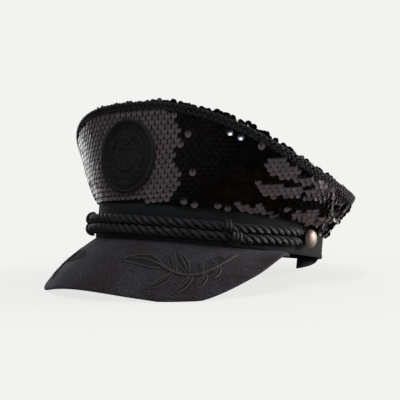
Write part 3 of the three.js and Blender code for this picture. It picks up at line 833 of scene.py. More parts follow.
class HAT_OT_crown(bpy.types.Operator):
    """Shape the crown's side and top panels"""

    bl_idname = "captain_hat.crown"
    bl_label = "Crown cloth"

    def execute(self, context):
        net = backing_mesh()
        rows, last = 18, 16  # the top's rows, and the one at its edge, from where its turning goes down

        def place(u, v):
            azimuth = 180 - 360 * u
            row = np.rint(v * rows)
            share = np.sin(np.pi / 2 * np.minimum(row / last, 1))
            edge = top_seam(azimuth)
            panel = np.stack([edge[:, 0] * share, edge[:, 1] * share, top_height(azimuth, share)], -1)
            # its turning goes down inside the braid and out to the side's edge
            foot = rim_point(azimuth)
            inside = edge + UP * (foot[:, 2] + 0.2 - edge[:, 2])[:, None]
            joint = foot - rim_out(azimuth) * 1.1 - UP * 0.3
            turning = np.where((row > last + 1)[:, None], joint, inside)
            return np.where((row > last)[:, None], turning, panel)

        side = laid_grid("crown_side_cloth", 240, 28, lambda u, v: side_point(360 * u - 180, v), (640, 60))
        top = laid_grid("crown_top_cloth", 120, rows, place, (640, 110))
        for piece, node in ((side, "crown_side"), (top, "crown_top")):
            wall(piece, CLOTH_THICK)
            shaded(piece, 60)
            dressed(piece, "sequins", net)
            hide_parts(node)
        return {"FINISHED"}


def sequin_model():
    """One sequin about its sewing hole: a thin cupped disc that hangs down its own -Y."""
    radius, hole, hang, thick = sizes().sequin / 2, 0.0007, SEQUIN_HANG * MM, 0.00012
    sides = 12
    piece = started(
        "sequin", bpy.ops.mesh.primitive_circle_add, vertices=sides, radius=radius, fill_type="NGON")
    bpy.ops.object.mode_set(mode="EDIT")
    bpy.ops.mesh.select_all(action="SELECT")
    bpy.ops.mesh.inset(thickness=(radius - hole) * math.cos(math.pi / sides))
    bpy.ops.transform.translate(value=(0, hang, 0))
    bpy.ops.mesh.delete(type="FACE")
    bpy.ops.mesh.select_all(action="SELECT")
    bpy.ops.transform.translate(value=(0, -hang, 0))
    bpy.ops.object.mode_set(mode="OBJECT")
    wall(piece, thick, 0.0)
    points = coordinates(piece.data) / MM
    faces = np.array([list(face.vertices) for face in piece.data.polygons])
    front = np.array([face.normal.z for face in piece.data.polygons])
    bpy.data.objects.remove(piece)
    return points, faces, front


def sewn_sequins(name, holes, axes, flipped, tones):
    """A panel's sequins as one piece: a copy of the model at each hole, turned by its axes."""
    points, faces, front = sequin_model()
    count, corners = len(holes), len(points)
    placed = holes[:, None, :] + np.einsum("nij,mj->nmi", axes, points)
    mesh = bpy.data.meshes.new(name)
    all_faces = (faces[None] + corners * np.arange(count)[:, None, None]).reshape(-1, 4)
    mesh.from_pydata(seated(placed.reshape(-1, 3)).tolist(), [], all_faces.tolist())
    # material 0 is the matt mauve side and material 1 the glossy black side and the cut edge
    shown = np.where(front > 0.5, 0, 1)
    hidden = np.where(front < -0.5, 0, 1)
    index = np.where(flipped[:, None], hidden[None], shown[None]).astype(np.int32)
    mesh.polygons.foreach_set("material_index", index.ravel())
    layer = mesh.uv_layers.new(name="UVMap")
    across = sizes().sequin / MM
    flat = np.stack([points[:, 0] / across + 0.5, (points[:, 1] + SEQUIN_HANG) / across + 0.5], -1)
    layer.data.foreach_set("uv", np.tile(flat[faces].reshape(-1, 2), (count, 1)).astype(np.float32).ravel())
    tone = mesh.attributes.new("tone", "FLOAT", "POINT")
    tone.data.foreach_set("value", np.repeat(tones, corners).astype(np.float32))
    piece = bpy.data.objects.new(name, mesh)
    bpy.context.scene.collection.objects.link(piece)
    mesh.update()
    return piece


def turned_axes(right, nap, outward, lift, yaw, roll):
    """Each sequin's axes: its hang tipped out by lift, turned by yaw about the nap, and rolled."""
    frame_axes = np.stack([right, nap, outward], -1)

    def about(axis, angle):
        c, s = np.cos(angle), np.sin(angle)
        zero, one = np.zeros_like(c), np.ones_like(c)
        rows = {
            "x": [[one, zero, zero], [zero, c, -s], [zero, s, c]],
            "y": [[c, zero, s], [zero, one, zero], [-s, zero, c]],
            "z": [[c, -s, zero], [s, c, zero], [zero, zero, one]],
        }[axis]
        return np.moveaxis(np.array(rows), -1, 0)

    return frame_axes @ about("z", roll) @ about("y", yaw) @ about("x", -lift)


# the high light's azimuth, distance and height, in metres, the azimuth and height of the two sequins
# that mirror it, and how far down they are turned
GLINT_LIGHT = (30, 0.9, 1.5)
GLINTS = ((42, 60.7), (47, 58.6))
GLINT_TURN = 0.05
# where the front's brushed-up mauve ends, by height up the side: height and azimuth
FRONT_EDGE = np.array([
    (1, 25), (11, 28), (18, 29), (25, 28), (29, 26), (34, 24), (39, 26), (47, 24), (56, 25), (58, 23),
    (63, 24), (66, 22),
])
# lone sequins that show mauve on the black: azimuth and height
STRAYS = (
    (26, 56), (26, 49), (33, 27), (55, 56), (33, 2.5), (37, 2.5), (49, 1), (53, 1), (73, 0), (76, 2),
    (77, 11),
)
# patches of brushed sequins: azimuth, height, their half sizes, and whether they show mauve
PATCHES = (
    (62, 5, 6.5, 5.5, True), (72, 4, 6, 3.2, True), (65.5, 45, 7, 7, True), (74, 39, 7, 4, True),
    (65, 27, 5.5, 6.5, True), (74, 29, 5, 6, True), (84, 33, 7, 9, True), (92, 34, 12, 6, True),
    (90, 12, 9, 10, True), (105, 14, 10, 12, True), (122, 14, 22, 15, True), (87, 42, 10, 5, True),
    (118, 28, 22, 13, True), (63, 36, 4, 1.6, False), (69, 35, 6, 2.2, False), (79, 36, 3, 2, False),
    (80, 18, 6, 6.5, False), (87, 22, 5, 4, False), (71, 14, 4, 6, False), (97, 24, 5, 3.6, False),
    (116, 10, 3, 3, False), (102, 7, 2.5, 3, False),
)


def nearest(azimuth, height, middle, level):
    """Which sequin hangs nearest to a place. A degree there is about 1.6 mm."""
    return int(np.argmin(np.hypot((azimuth - middle) * 1.6, height - level)))


def mauve_shown(azimuth, height, random):
    """Which of the side's sequins are brushed to show their mauve side."""
    ragged = random.normal(0, 1.0, len(azimuth))
    edge = np.interp(height, FRONT_EDGE[:, 0], FRONT_EDGE[:, 1])
    shown = (azimuth > -52 + 3 * np.sin(height / 5)) & (azimuth < edge + 0.6 * ragged)
    for middle, level, wide, tall, mauve in PATCHES:
        near = np.hypot((azimuth - middle) / wide, (height - level) / tall) + 0.26 * ragged < 1
        shown = np.where(near, mauve, shown)
    for middle, level in STRAYS:
        shown[nearest(azimuth, height, middle, level)] = True
    a = np.radians(azimuth)
    drift = np.sin(5 * a + height / 9) + np.sin(11 * a - height / 6 + 1) + 0.5 * ragged
    unseen = (azimuth < -75) | (azimuth > 146)
    return np.where(unseen, drift > 0.2, shown)


class HAT_OT_sequins(bpy.types.Operator):
    """Sew the sequins to the crown's side and top"""

    bl_idname = "captain_hat.sequins"
    bl_label = "Sequins"

    def execute(self, context):
        random = np.random.default_rng(11)
        mauve = sequin_film(
            "polyester_film_matt_mauve", colours().sequin_mauve, roughness=0.36, specular=0.5, spread=0.16,
            tint=(1.03, 0.98, 0.98), cup_depth=0.0006)
        black = sequin_film(
            "polyester_film_glossy_black", colours().sequin_black, roughness=0.16, specular=0.3, spread=0.6,
            tint=(2.1, 1.0, 0.62), cup_depth=0.0005)
        for name, sewn in (("crown_side_sequins", self.side), ("crown_top_sequins", self.top)):
            piece = sewn_sequins(name, *sewn(random))
            dressed(piece, "sequins", mauve, black)
        return {"FINISHED"}

    def lattice(self):
        """Places on the side: azimuth, height up the cloth, share of the way up, and height past its edge."""
        column, row = sizes().sequin_column / MM, sizes().sequin_row / MM
        # the lowest row, the cloth along one degree, and the height at which columns are counted
        first, degree, waist = 1.4, 1.95, 25
        levels = np.linspace(0, 1, 81)
        lines = side_point(TURN[:, None], levels[None])
        heights = np.cumsum(np.linalg.norm(np.diff(lines, axis=1), axis=2), axis=1)
        heights = np.concatenate([np.zeros((len(TURN), 1)), heights], 1)
        steps = np.linalg.norm(np.diff(lines[:, len(levels) // 2], axis=0), axis=1)
        travelled = np.concatenate([[0], np.cumsum(steps * (1 + 0.2 * smooth(np.abs(TURN[1:]), 20, 65)))])
        columns = int(round(travelled[-1] / column))
        half = np.arange(2 * columns)
        start = np.interp(travelled[-1] * half / (2 * columns), travelled, TURN)
        # the cloth is cut with straight rows, which climb the side as it curves round
        tilt = grain_tilt(TURN)
        climb = np.concatenate([[0], np.cumsum(steps * tilt[1:])])
        climb -= np.interp(0, TURN, climb)
        at, k = np.meshgrid(start, np.arange(-12, 22))
        level = 2 * row * (k + (half % 2) / 2) + first
        # a few rounds settle where each column crosses each row
        azimuth = at
        for _ in range(4):
            height = level + np.interp(azimuth, TURN, climb)
            azimuth = at - np.interp(azimuth, TURN, tilt) * (height - waist) / degree
        azimuth, height = azimuth.ravel(), height.ravel()
        inside = (azimuth > -180) & (azimuth < 180) & (height > 0)
        azimuth, height = azimuth[inside], height[inside]
        line = heights[np.rint((azimuth + 180) / (TURN[1] - TURN[0])).astype(int)]
        t = np.array([np.interp(h, row_heights, levels) for h, row_heights in zip(height, line)])
        beyond = height - line[:, -1]
        rising = side_point(azimuth, t + 0.02)[:, 2] > side_point(azimuth, t - 0.02)[:, 2] + 0.05
        # the first and last rows stay clear of the band and of what the folds hide
        kept = (height > 3.6) & (beyond < 3.4 - 3.6 * smooth(np.abs(azimuth), 88, 104)) & rising
        return azimuth[kept], height[kept], t[kept], beyond[kept]

    def side(self, random):
        azimuth, height, t, beyond = self.lattice()
        wobble = 0.35 * smooth(np.abs(azimuth), 84, 100) + 0.1
        azimuth = azimuth + random.normal(0, 0.15, len(azimuth)) * wobble
        point = side_point(azimuth, t)
        nap = unit(side_point(azimuth, t) - side_point(azimuth, t - 0.02))
        point = point + nap * np.maximum(beyond, 0)[:, None]
        right = side_point(azimuth + 0.4, t) - side_point(azimuth - 0.4, t)
        right = square(right, nap)
        outward = np.cross(right, nap)
        tilt = grain_tilt(azimuth)[:, None]
        right, nap = unit(right + nap * tilt), unit(nap - right * tilt)
        count = len(azimuth)
        loose = smooth(np.abs(azimuth), 66, 84) * 0.55 + 0.45 * smooth(np.abs(azimuth), 90, 112)
        # the lowest rows are pushed out by the band's turning, and those on slack cloth stand every way
        pushed = 9 * (1 - smooth(height, 6, 20))
        lift = np.radians(5.5 + pushed + random.normal(0, 1.2, count) + loose * random.normal(10, 14, count))
        yaw = np.radians(random.normal(0, 1.8, count) + loose * random.normal(16, 20, count))
        roll = np.radians(random.normal(0, 3, count) + loose * random.normal(0, 12, count))
        lift = np.clip(lift, np.radians(1), np.radians(70))
        axes = turned_axes(right, nap, outward, lift, yaw, roll)
        holes, hung = point + outward * SEWN_OUT, height - SEQUIN_HANG
        # two sequins on the black stand out and mirror the high light
        glints = [nearest(azimuth, hung, middle, level) for middle, level in GLINTS]
        lamp = upright_place(np.array(studio(*GLINT_LIGHT)))
        for i in glints:
            facing = unit(unit(camera_frame()[0] - holes[i]) + unit(lamp - holes[i]))
            # turned down a little, so that only its lower edge is lit
            facing = unit(facing - nap[i] * GLINT_TURN)
            hang = unit(nap[i] - facing * np.dot(nap[i], facing))
            axes[i] = np.stack([np.cross(hang, facing), hang, facing], -1)
            holes[i] += outward[i] * 1.2
        # the lone sequins hang over their neighbours
        for middle, level in STRAYS:
            i = nearest(azimuth, hung, middle, level)
            holes[i] += outward[i] * 0.9
        # none are sewn where the badge covers them
        base, way, _ = badge_frame()
        flat = holes - base
        reach = np.hypot(flat @ np.array([1.0, 0, 0]), flat @ way)
        keep = (reach >= BADGE_RADIUS - 4) | (holes[:, 1] >= 0)
        shown = mauve_shown(azimuth, hung, random)
        tones = random.random(count)
        shown[glints] = False
        return holes[keep], axes[keep], ~shown[keep], tones[keep]

    def top(self, random):
        column, row = sizes().sequin_column / MM, sizes().sequin_row / MM
        # rows and columns go past the panel all round, and what lies past its seam is left out
        found = []
        for k in range(-30, 31):
            x = (np.arange(-22, 23) + 0.5 * (k % 2)) * column
            found.append(np.stack([x, np.full_like(x, k * row)], -1))
        x, y = np.concatenate(found).T
        _, share = top_place(x, y)
        inside = share < 0.985
        x, y, share = x[inside], y[inside], share[inside]
        point = top_point(x, y)
        nap = unit(point - top_point(x, y + 0.5))
        right = unit(point - top_point(x + 0.5, y))
        right = square(right, nap)
        outward = np.cross(right, nap)
        count = len(x)
        near_rim = smooth(share, 0.8, 0.97)
        lift = np.radians(6 + random.normal(0, 1.5, count) + near_rim * random.normal(12, 12, count))
        lift = np.clip(lift, np.radians(1), np.radians(60))
        yaw = np.radians(random.normal(0, 3 + 10 * near_rim, count))
        roll = np.radians(random.normal(0, 3 + 8 * near_rim, count))
        axes = turned_axes(right, nap, outward, lift, yaw, roll)
        drift = np.sin(x / 17 + 1) + np.sin(y / 13 + x / 41) + random.normal(0, 0.4, count)
        holes, flipped = point + outward * SEWN_OUT, drift < 1.1
        edge_holes, edge_axes = self.seam_rows(random)
        edge_flipped = random.random(len(edge_holes)) < 0.86
        holes, axes = np.concatenate([holes, edge_holes]), np.concatenate([axes, edge_axes])
        flipped = np.concatenate([flipped, edge_flipped])
        return holes, axes, flipped, random.random(len(holes))

    def seam_rows(self, random):
        """The sequins along the top's seam, which the braid pushes up so that they stand over it."""
        travelled = travel(SEAM)
        found = []
        # each row's way in from the seam, its way up and its spacing
        for inward, raised, spacing in ((0.4, -0.9, 5.0), (2.4, -0.2, 5.2)):
            count = int(travelled[-1] / spacing)
            at = (np.arange(count) + random.uniform(-0.35, 0.35, count)) * travelled[-1] / count
            azimuth = np.interp(at, travelled, TURN)
            out = rim_out(azimuth)
            tangent = np.cross(UP, out)
            stand = np.radians(random.normal(20, 28, count))
            sway = np.radians(random.normal(0, 22, count))
            rise = UP * np.cos(stand)[:, None] + out * np.sin(stand)[:, None]
            rise = unit(rise + tangent * np.sin(sway)[:, None])
            face = out - rise * np.sum(out * rise, -1, keepdims=True)
            face = square(unit(face + tangent * random.normal(0, 0.35, (count, 1))), rise)
            right = np.cross(-rise, face)
            pushed = raised + 2.0 * smooth(np.abs(azimuth), 8, 55) + random.normal(0, 0.6, count)
            holes = top_seam(azimuth) - out * inward + UP * pushed[:, None]
            found.append((holes, np.stack([right, -rise, face], -1)))
        return np.concatenate([f[0] for f in found]), np.concatenate([f[1] for f in found])


class HAT_OT_braid(bpy.types.Operator):
    """Plait the braid that edges the rim"""

    bl_idname = "captain_hat.braid"
    bl_label = "Rim braid"

    def execute(self, context):
        travelled = travel(braid_frame(TURN)[0])
        strands, thick, wide = 7, 0.95, 1.0
        periods = int(round(travelled[-1] / (strands * sizes().braid_stitch / MM)))
        steps = periods * 28  # for each time that a strand goes over and back
        share = np.linspace(0, 1, steps + 1)
        azimuth = np.interp(share * travelled[-1], travelled, TURN)
        middle, long, short, _, _ = braid_frame(azimuth)
        parts = []
        for k in range(strands):
            angle = 2 * np.pi * (periods * share + k / strands)
            # each strand goes over two and under two of the others
            lateral = (BRAID_HALF - thick) * np.sin(angle)
            depth = 0.85 * np.sin(4 * angle) + 0.35 * np.cos(angle) ** 2
            path = middle + long * lateral[:, None] + short * depth[:, None]
            parts.append(tube(f"strand_{k}", path, short, thick, wide, 8, closed=True))
        piece = joined("rim_braid", parts)
        shaded(piece, 70)
        gimp = twisted_thread(
            "viscose_gimp_plaited", colours().braid, pitch=1.2, slant=0.8, roughness=0.55, depth=0.0004,
            sheen=0.03, round_about=np.pi * (thick + wide))
        dressed(piece, "braid", gimp)
        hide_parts("braid_trim")
        return {"FINISHED"}


class HAT_OT_peak(bpy.types.Operator):
    """Shape the stiffened peak with its rounded edge"""

    bl_idname = "captain_hat.peak"
    bl_label = "Peak"

    def execute(self, context):
        upper, edge = 0.42, 0.58  # shares of the section that are upper face, and upper face with edge

        def place(u, v):
            azimuth = PEAK_SPAN * np.sin(np.pi / 2 * (2 * u - 1) * 0.999)
            turn = np.clip((v - upper) / (edge - upper), 0, 1) * np.pi
            share = np.where(v < upper, v / upper, np.where(v > edge, (1 - v) / (1 - edge), 1.0))
            side = np.where(v < upper, 1.0, np.where(v > edge, -1.0, np.cos(turn)))
            point = peak_point(azimuth, share, side)
            outer = unit(peak_point(azimuth, 1.0, 0.0) - peak_point(azimuth, 0.97, 0.0))
            return point + outer * (np.sin(turn) * PEAK_THICK / 2)[:, None]

        length, depth = 330, 100  # of the suede, along the peak and round its section
        piece = laid_grid("suede_peak", 120, 50, place, (length, depth), welded=False, lowest=0.00005)
        section = uv_values(piece.data.uv_layers[0]).reshape(-1, 4, 2)[:, :, 1].mean(1) / depth
        piece.data.polygons.foreach_set("material_index", (section > edge).astype(np.int32))
        weld(piece)
        capped(piece)
        shaded(piece, 50)
        dressed(piece, "suede", suede_brushed(), satin_lining())
        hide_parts("peak")
        return {"FINISHED"}


def spline(rows, count):
    """A smooth path through table rows."""
    at = np.linspace(0, len(rows) - 1, count)
    slope = np.gradient(rows, axis=0)
    i = np.clip(at.astype(int), 0, len(rows) - 2)
    t = (at - i)[:, None]
    start, finish = 2 * t**3 - 3 * t**2 + 1, 3 * t**2 - 2 * t**3
    leaving, arriving = (t**3 - 2 * t**2 + t) * slope[i], (t**3 - t**2) * slope[i + 1]
    return start * rows[i] + leaving + finish * rows[i + 1] + arriving


class HAT_OT_sprigs(bpy.types.Operator):
    """Embroider the sprigs on both sides of the peak"""

    bl_idname = "captain_hat.sprigs"
    bl_label = "Embroidered sprigs"

    def execute(self, context):
        filling = satin_stitched("rayon_thread_leaf_filling", [c * 1.15 for c in colours().satin], 0.6)
        couched = satin_stitched("rayon_cord_couched", colours().couched, 0.75)
        retoned_thread = satin_stitched("rayon_thread_leaf_worn", [c * 2.0 for c in colours().satin], 0.95, 0.1)
        for name, node, mirror in (
                ("embroidered_sprig_left", "sprig_left", 1), ("embroidered_sprig_right", "sprig_right", -1)):
            bodies, cords = [], []
            # the right sprig is worn flatter than the left
            relief = 1.0 if mirror > 0 else 0.3
            for number, leaf in enumerate(LEAF_ROWS):
                self.leaf(bodies, cords, number, leaf, relief)
            self.stem(cords, relief)
            for part in bodies:
                part.data.materials.append(filling if mirror > 0 else retoned_thread)
            for part in cords:
                part.data.materials.append(couched if mirror > 0 else retoned_thread)
            piece = joined(name, bodies + cords)
            if mirror < 0:
                points = coordinates(piece.data)
                points[:, 0] = 2 * SHIFT[0] * MM - points[:, 0]
                move_to(piece.data, points)
                weld(piece, 0.000001)
            shaded(piece, 60)
            dressed(piece, "satin_thread")
            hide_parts(node)
        return {"FINISHED"}

    def leaf(self, bodies, cords, number, leaf, relief):
        """One leaf: its stitched filling, and the cords along its edges and its vein."""
        a0, s0, a1, s1, half = leaf
        t = np.linspace(0, 1, 27)
        bow = 0.012 * half * np.sin(np.pi * t) * (1 if s1 > s0 else -1)
        azimuth = a0 + (a1 - a0) * t
        share = s0 + (s1 - s0) * t + bow
        path, normal = peak_point(azimuth, share), peak_normal(azimuth, share)
        width = 0.12 + half * 0.92 * np.sin(np.pi * t**0.85) ** 0.9
        width[0], width[-1] = 0, 0
        bodies.append(ridge(f"leaf_{number}", path, normal, width, 0.9 * relief, 12, groove=0.4))
        across = unit(np.cross(along_path(path, False), normal))
        thick = (0.6 + 0.03 * half) * relief
        for side in (-1, 1):
            edge = path + across * (side * width)[:, None] + normal * 0.45 * relief
            self.couch(cords, f"edge_{number}_{side + 1}", edge, normal, thick)
        vein = path + across * (0.15 * width)[:, None] + normal * relief
        self.couch(cords, f"vein_{number}", vein[2:22], normal[2:22], thick * (0.8 if half > 3 else 0.6))

    def stem(self, cords, relief):
        """The stem: two cords that twist round each other."""
        twists, count = 14, 70
        azimuth, share = spline(STEM_ROWS, count).T
        normal = peak_normal(azimuth, share)
        path = peak_point(azimuth, share) + normal * relief
        side = unit(np.cross(along_path(path, False), normal))
        for k in range(2):
            turn = np.linspace(0, 2 * np.pi * twists, count) + np.pi * k
            strand = path + normal * (0.3 * np.cos(turn))[:, None] + side * (0.45 * np.sin(turn))[:, None]
            self.couch(cords, f"stem_{k}", strand, normal, 0.8 * relief)

    def couch(self, parts, name, path, normal, thick):
        """A thin cord laid on the suede, thinner at its ends."""
        steps = np.arange(len(path))
        taper = np.clip(np.minimum(steps, steps[::-1]) / 3, 0, 1) ** 0.5
        parts.append(tube(name, path, normal, thick * taper, thick * taper, 6))


def cord_level(azimuth):
    """The height of the valley between the chin cord's two runs, which hang a little at the front."""
    return CORD_FRONT + (CORD_BACK - CORD_FRONT) * smooth(np.abs(azimuth), 55, 88)


def cord_path():
    """The middle of the chin cord's loop and its radius along it."""
    places, radii = [], []
    turn_radius = BUTTON_SHANK + GAP + CORD_PINCHED
    steps, shank_arc = 60, 9
    for side, start in ((-1, -1), (1, 1)):
        i = np.arange(steps + 1)
        azimuth = start * BUTTON_AZIMUTH * np.sin(np.pi / 2 * (1 - 2 * i / steps) * 0.985)
        near = smooth(np.abs(azimuth), BUTTON_AZIMUTH - 10.5, BUTTON_AZIMUTH - 3)
        r = CORD_RADIUS + (CORD_PINCHED - CORD_RADIUS) * near
        run = cord_level(azimuth) + side * CORD_APART
        height = run + (BUTTON_Z + side * turn_radius - run) * near
        places.append(at_band(azimuth, GAP + r, height))
        radii.append(r)
        a = np.pi * (np.arange(shank_arc) + 0.5) / shank_arc
        height = BUTTON_Z + side * turn_radius * np.cos(a)
        azimuth = -start * (BUTTON_AZIMUTH + turn_radius * np.sin(a) / (np.radians(1) * BAND_X))
        places.append(at_band(azimuth, GAP + CORD_PINCHED, height))
        radii.append(np.full(shank_arc, CORD_PINCHED))
    path = np.concatenate(places)
    radius = np.concatenate(radii)
    return np.concatenate([path, path[:1]]), np.append(radius, radius[0])


class HAT_OT_chin_cord(bpy.types.Operator):
    """Twist the chin cord of three strands round the band"""

    bl_idname = "captain_hat.chin_cord"
    bl_label = "Chin cord"

    def execute(self, context):
        path, radius = cord_path()
        travelled = travel(path)
        turns = int(round(travelled[-1] / (sizes().cord_turn / MM)))
        steps = turns * 15  # for each time that a strand goes round
        share = np.linspace(0, 1, steps + 1)
        path = np.stack([np.interp(share * travelled[-1], travelled, path[:, i]) for i in range(3)], -1)
        radius = np.interp(share * travelled[-1], travelled, radius)
        along = along_path(path, True)
        azimuth = np.degrees(np.arctan2(path[:, 0] / BAND_X, -path[:, 1] / BAND_Y))
        side = unit(np.cross(along, band_out(azimuth)))
        out = np.cross(side, along)
        parts = []
        thick, wide, plies = 0.455 * radius, 0.5 * radius, 3
        for k in range(plies):
            turn = 2 * np.pi * (turns * share + k / plies)
            away = out * np.cos(turn)[:, None] + side * np.sin(turn)[:, None]
            line = path + away * (radius - thick)[:, None]
            parts.append(tube(f"ply_{k}", line, away, thick, wide, 12, closed=True))
        round_about = np.pi * float(np.mean(thick) + np.mean(wide))
        piece = joined("chin_cord_twisted", parts)
        shaded(piece, 70)
        thread = twisted_thread(
            "viscose_cord_twisted", colours().cord, pitch=1.6, slant=2.6, roughness=0.48, depth=0.00025,
            sheen=0.06, round_about=round_about)
        dressed(piece, "cord", thread)
        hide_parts("chin_cord")
        return {"FINISHED"}


class HAT_OT_knots(bpy.types.Operator):
    """Wind the two slip knots round the chin cord"""

    bl_idname = "captain_hat.knots"
    bl_label = "Slip knots"

    def execute(self, context):
        thread = twisted_thread(
            "viscose_cord_wound", colours().cord, pitch=0.8, slant=-0.9, roughness=0.42, depth=0.0001,
            sheen=0.1)
        for name, node, place, mirror in (
                ("slip_knot_left", "knot_left", 55.5, 1), ("slip_knot_right", "knot_right", 43.0, -1)):
            parts = []
            t = np.linspace(0, 1, 25)
            taper = rounded_ends(t)
            reach = CORD_RADIUS + 1.2
            for k, shift in enumerate((-2.9, -1.25)):
                angle = 112 - 170 * t
                self.wind(parts, f"upright_{k}", place + shift, 0 * t, 1, angle, reach, taper, mirror)
            for k, shift in enumerate((0.5, 2.1, 3.6)):
                angle = 68 - 180 * t
                lean = -1.9 * t**1.5 + 0.5 * np.sin(np.pi * t)
                self.wind(parts, f"slanted_{k}", place + shift, lean, -1, angle, reach, taper, mirror)
            piece = joined(name, parts)
            shaded(piece, 70)
            dressed(piece, "cord", thread)
            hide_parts(node)
        return {"FINISHED"}

    def wind(self, parts, name, place, lean, side, angle, reach, taper, mirror):
        """One turn of thin cord over a run of the chin cord."""
        azimuth = mirror * (place + lean)
        a = np.radians(angle)
        out = band_out(azimuth)
        level = cord_level(azimuth) + side * CORD_APART
        path = at_band(azimuth, GAP + CORD_RADIUS + reach * np.cos(a), level + reach * np.sin(a))
        away = out * np.cos(a)[:, None] + UP * np.sin(a)[:, None]
        parts.append(tube(name, path, away, 1.2 * taper, 1.3 * taper, 8))


class HAT_OT_buttons(bpy.types.Operator):
    """Fix the domed buttons that hold the chin cord"""

    bl_idname = "captain_hat.buttons"
    bl_label = "Buttons"

    def execute(self, context):
        metal = nickel_plated()
        base, r = BUTTON_STAND, BUTTON_RADIUS
        profile = [
            (BUTTON_SHANK, 0), (BUTTON_SHANK, base - 0.3), (2.2, base), (r - 0.9, base),
            (r - 0.35, base + 0.15), (r, base + 0.55), (r - 0.15, base + 1.0),
        ]
        for a in (20, 32, 44, 55, 66, 76, 84):
            rise = 1.0 + (BUTTON_DOME - 1.0) * math.sin(math.radians(a))
            profile.append(((r - 0.1) * math.cos(math.radians(a)) ** 0.9, base + rise))
        profile.append((0.3, base + BUTTON_DOME))
        for name, node, azimuth in (
                ("button_cap_left", "button_left", BUTTON_AZIMUTH),
                ("button_cap_right", "button_right", -BUTTON_AZIMUTH)):
            piece = turned(name, [(w, w, z) for w, z in profile], 40)
            capped(piece)
            out = band_out(np.array([azimuth]))[0]
            side = np.cross(UP, out)
            place = Matrix(np.stack([side, UP, out], -1).tolist()).to_4x4()
            origin = at_band(np.array([azimuth]), GAP, BUTTON_Z)[0] * MM
            piece.data.transform(SEATED @ Matrix.Translation(Vector(origin)) @ place)
            shaded(piece, 50)
            dressed(piece, "button_metal", metal)
            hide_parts(node)
        return {"FINISHED"}


BADGE_BEND = 0.0016  # how the badge's face curves back towards its left and right


def badge_frame():
    """The middle of the badge's back, the way up it and the way out of it."""
    foot = at_band(np.array([0.0]), 0.4, BAND_TOP + GAP)[0]
    line = rim_point(np.array([0.0]))[0] - foot
    way = unit(line)
    out = np.array([0.0, -way[2], way[1]])
    base = foot + line * (BADGE_HEIGHT - BAND_TOP - GAP) / line[2] + out * GAP
    return base, way, out


def on_badge(x, y):
    """A point of the badge's face: right and up from its middle."""
    base, way, out = badge_frame()
    level = BADGE_THICK - 0.6 - BADGE_BEND * x**2
    return base + np.array([1.0, 0, 0]) * x[..., None] + way * y[..., None] + out * level[..., None]


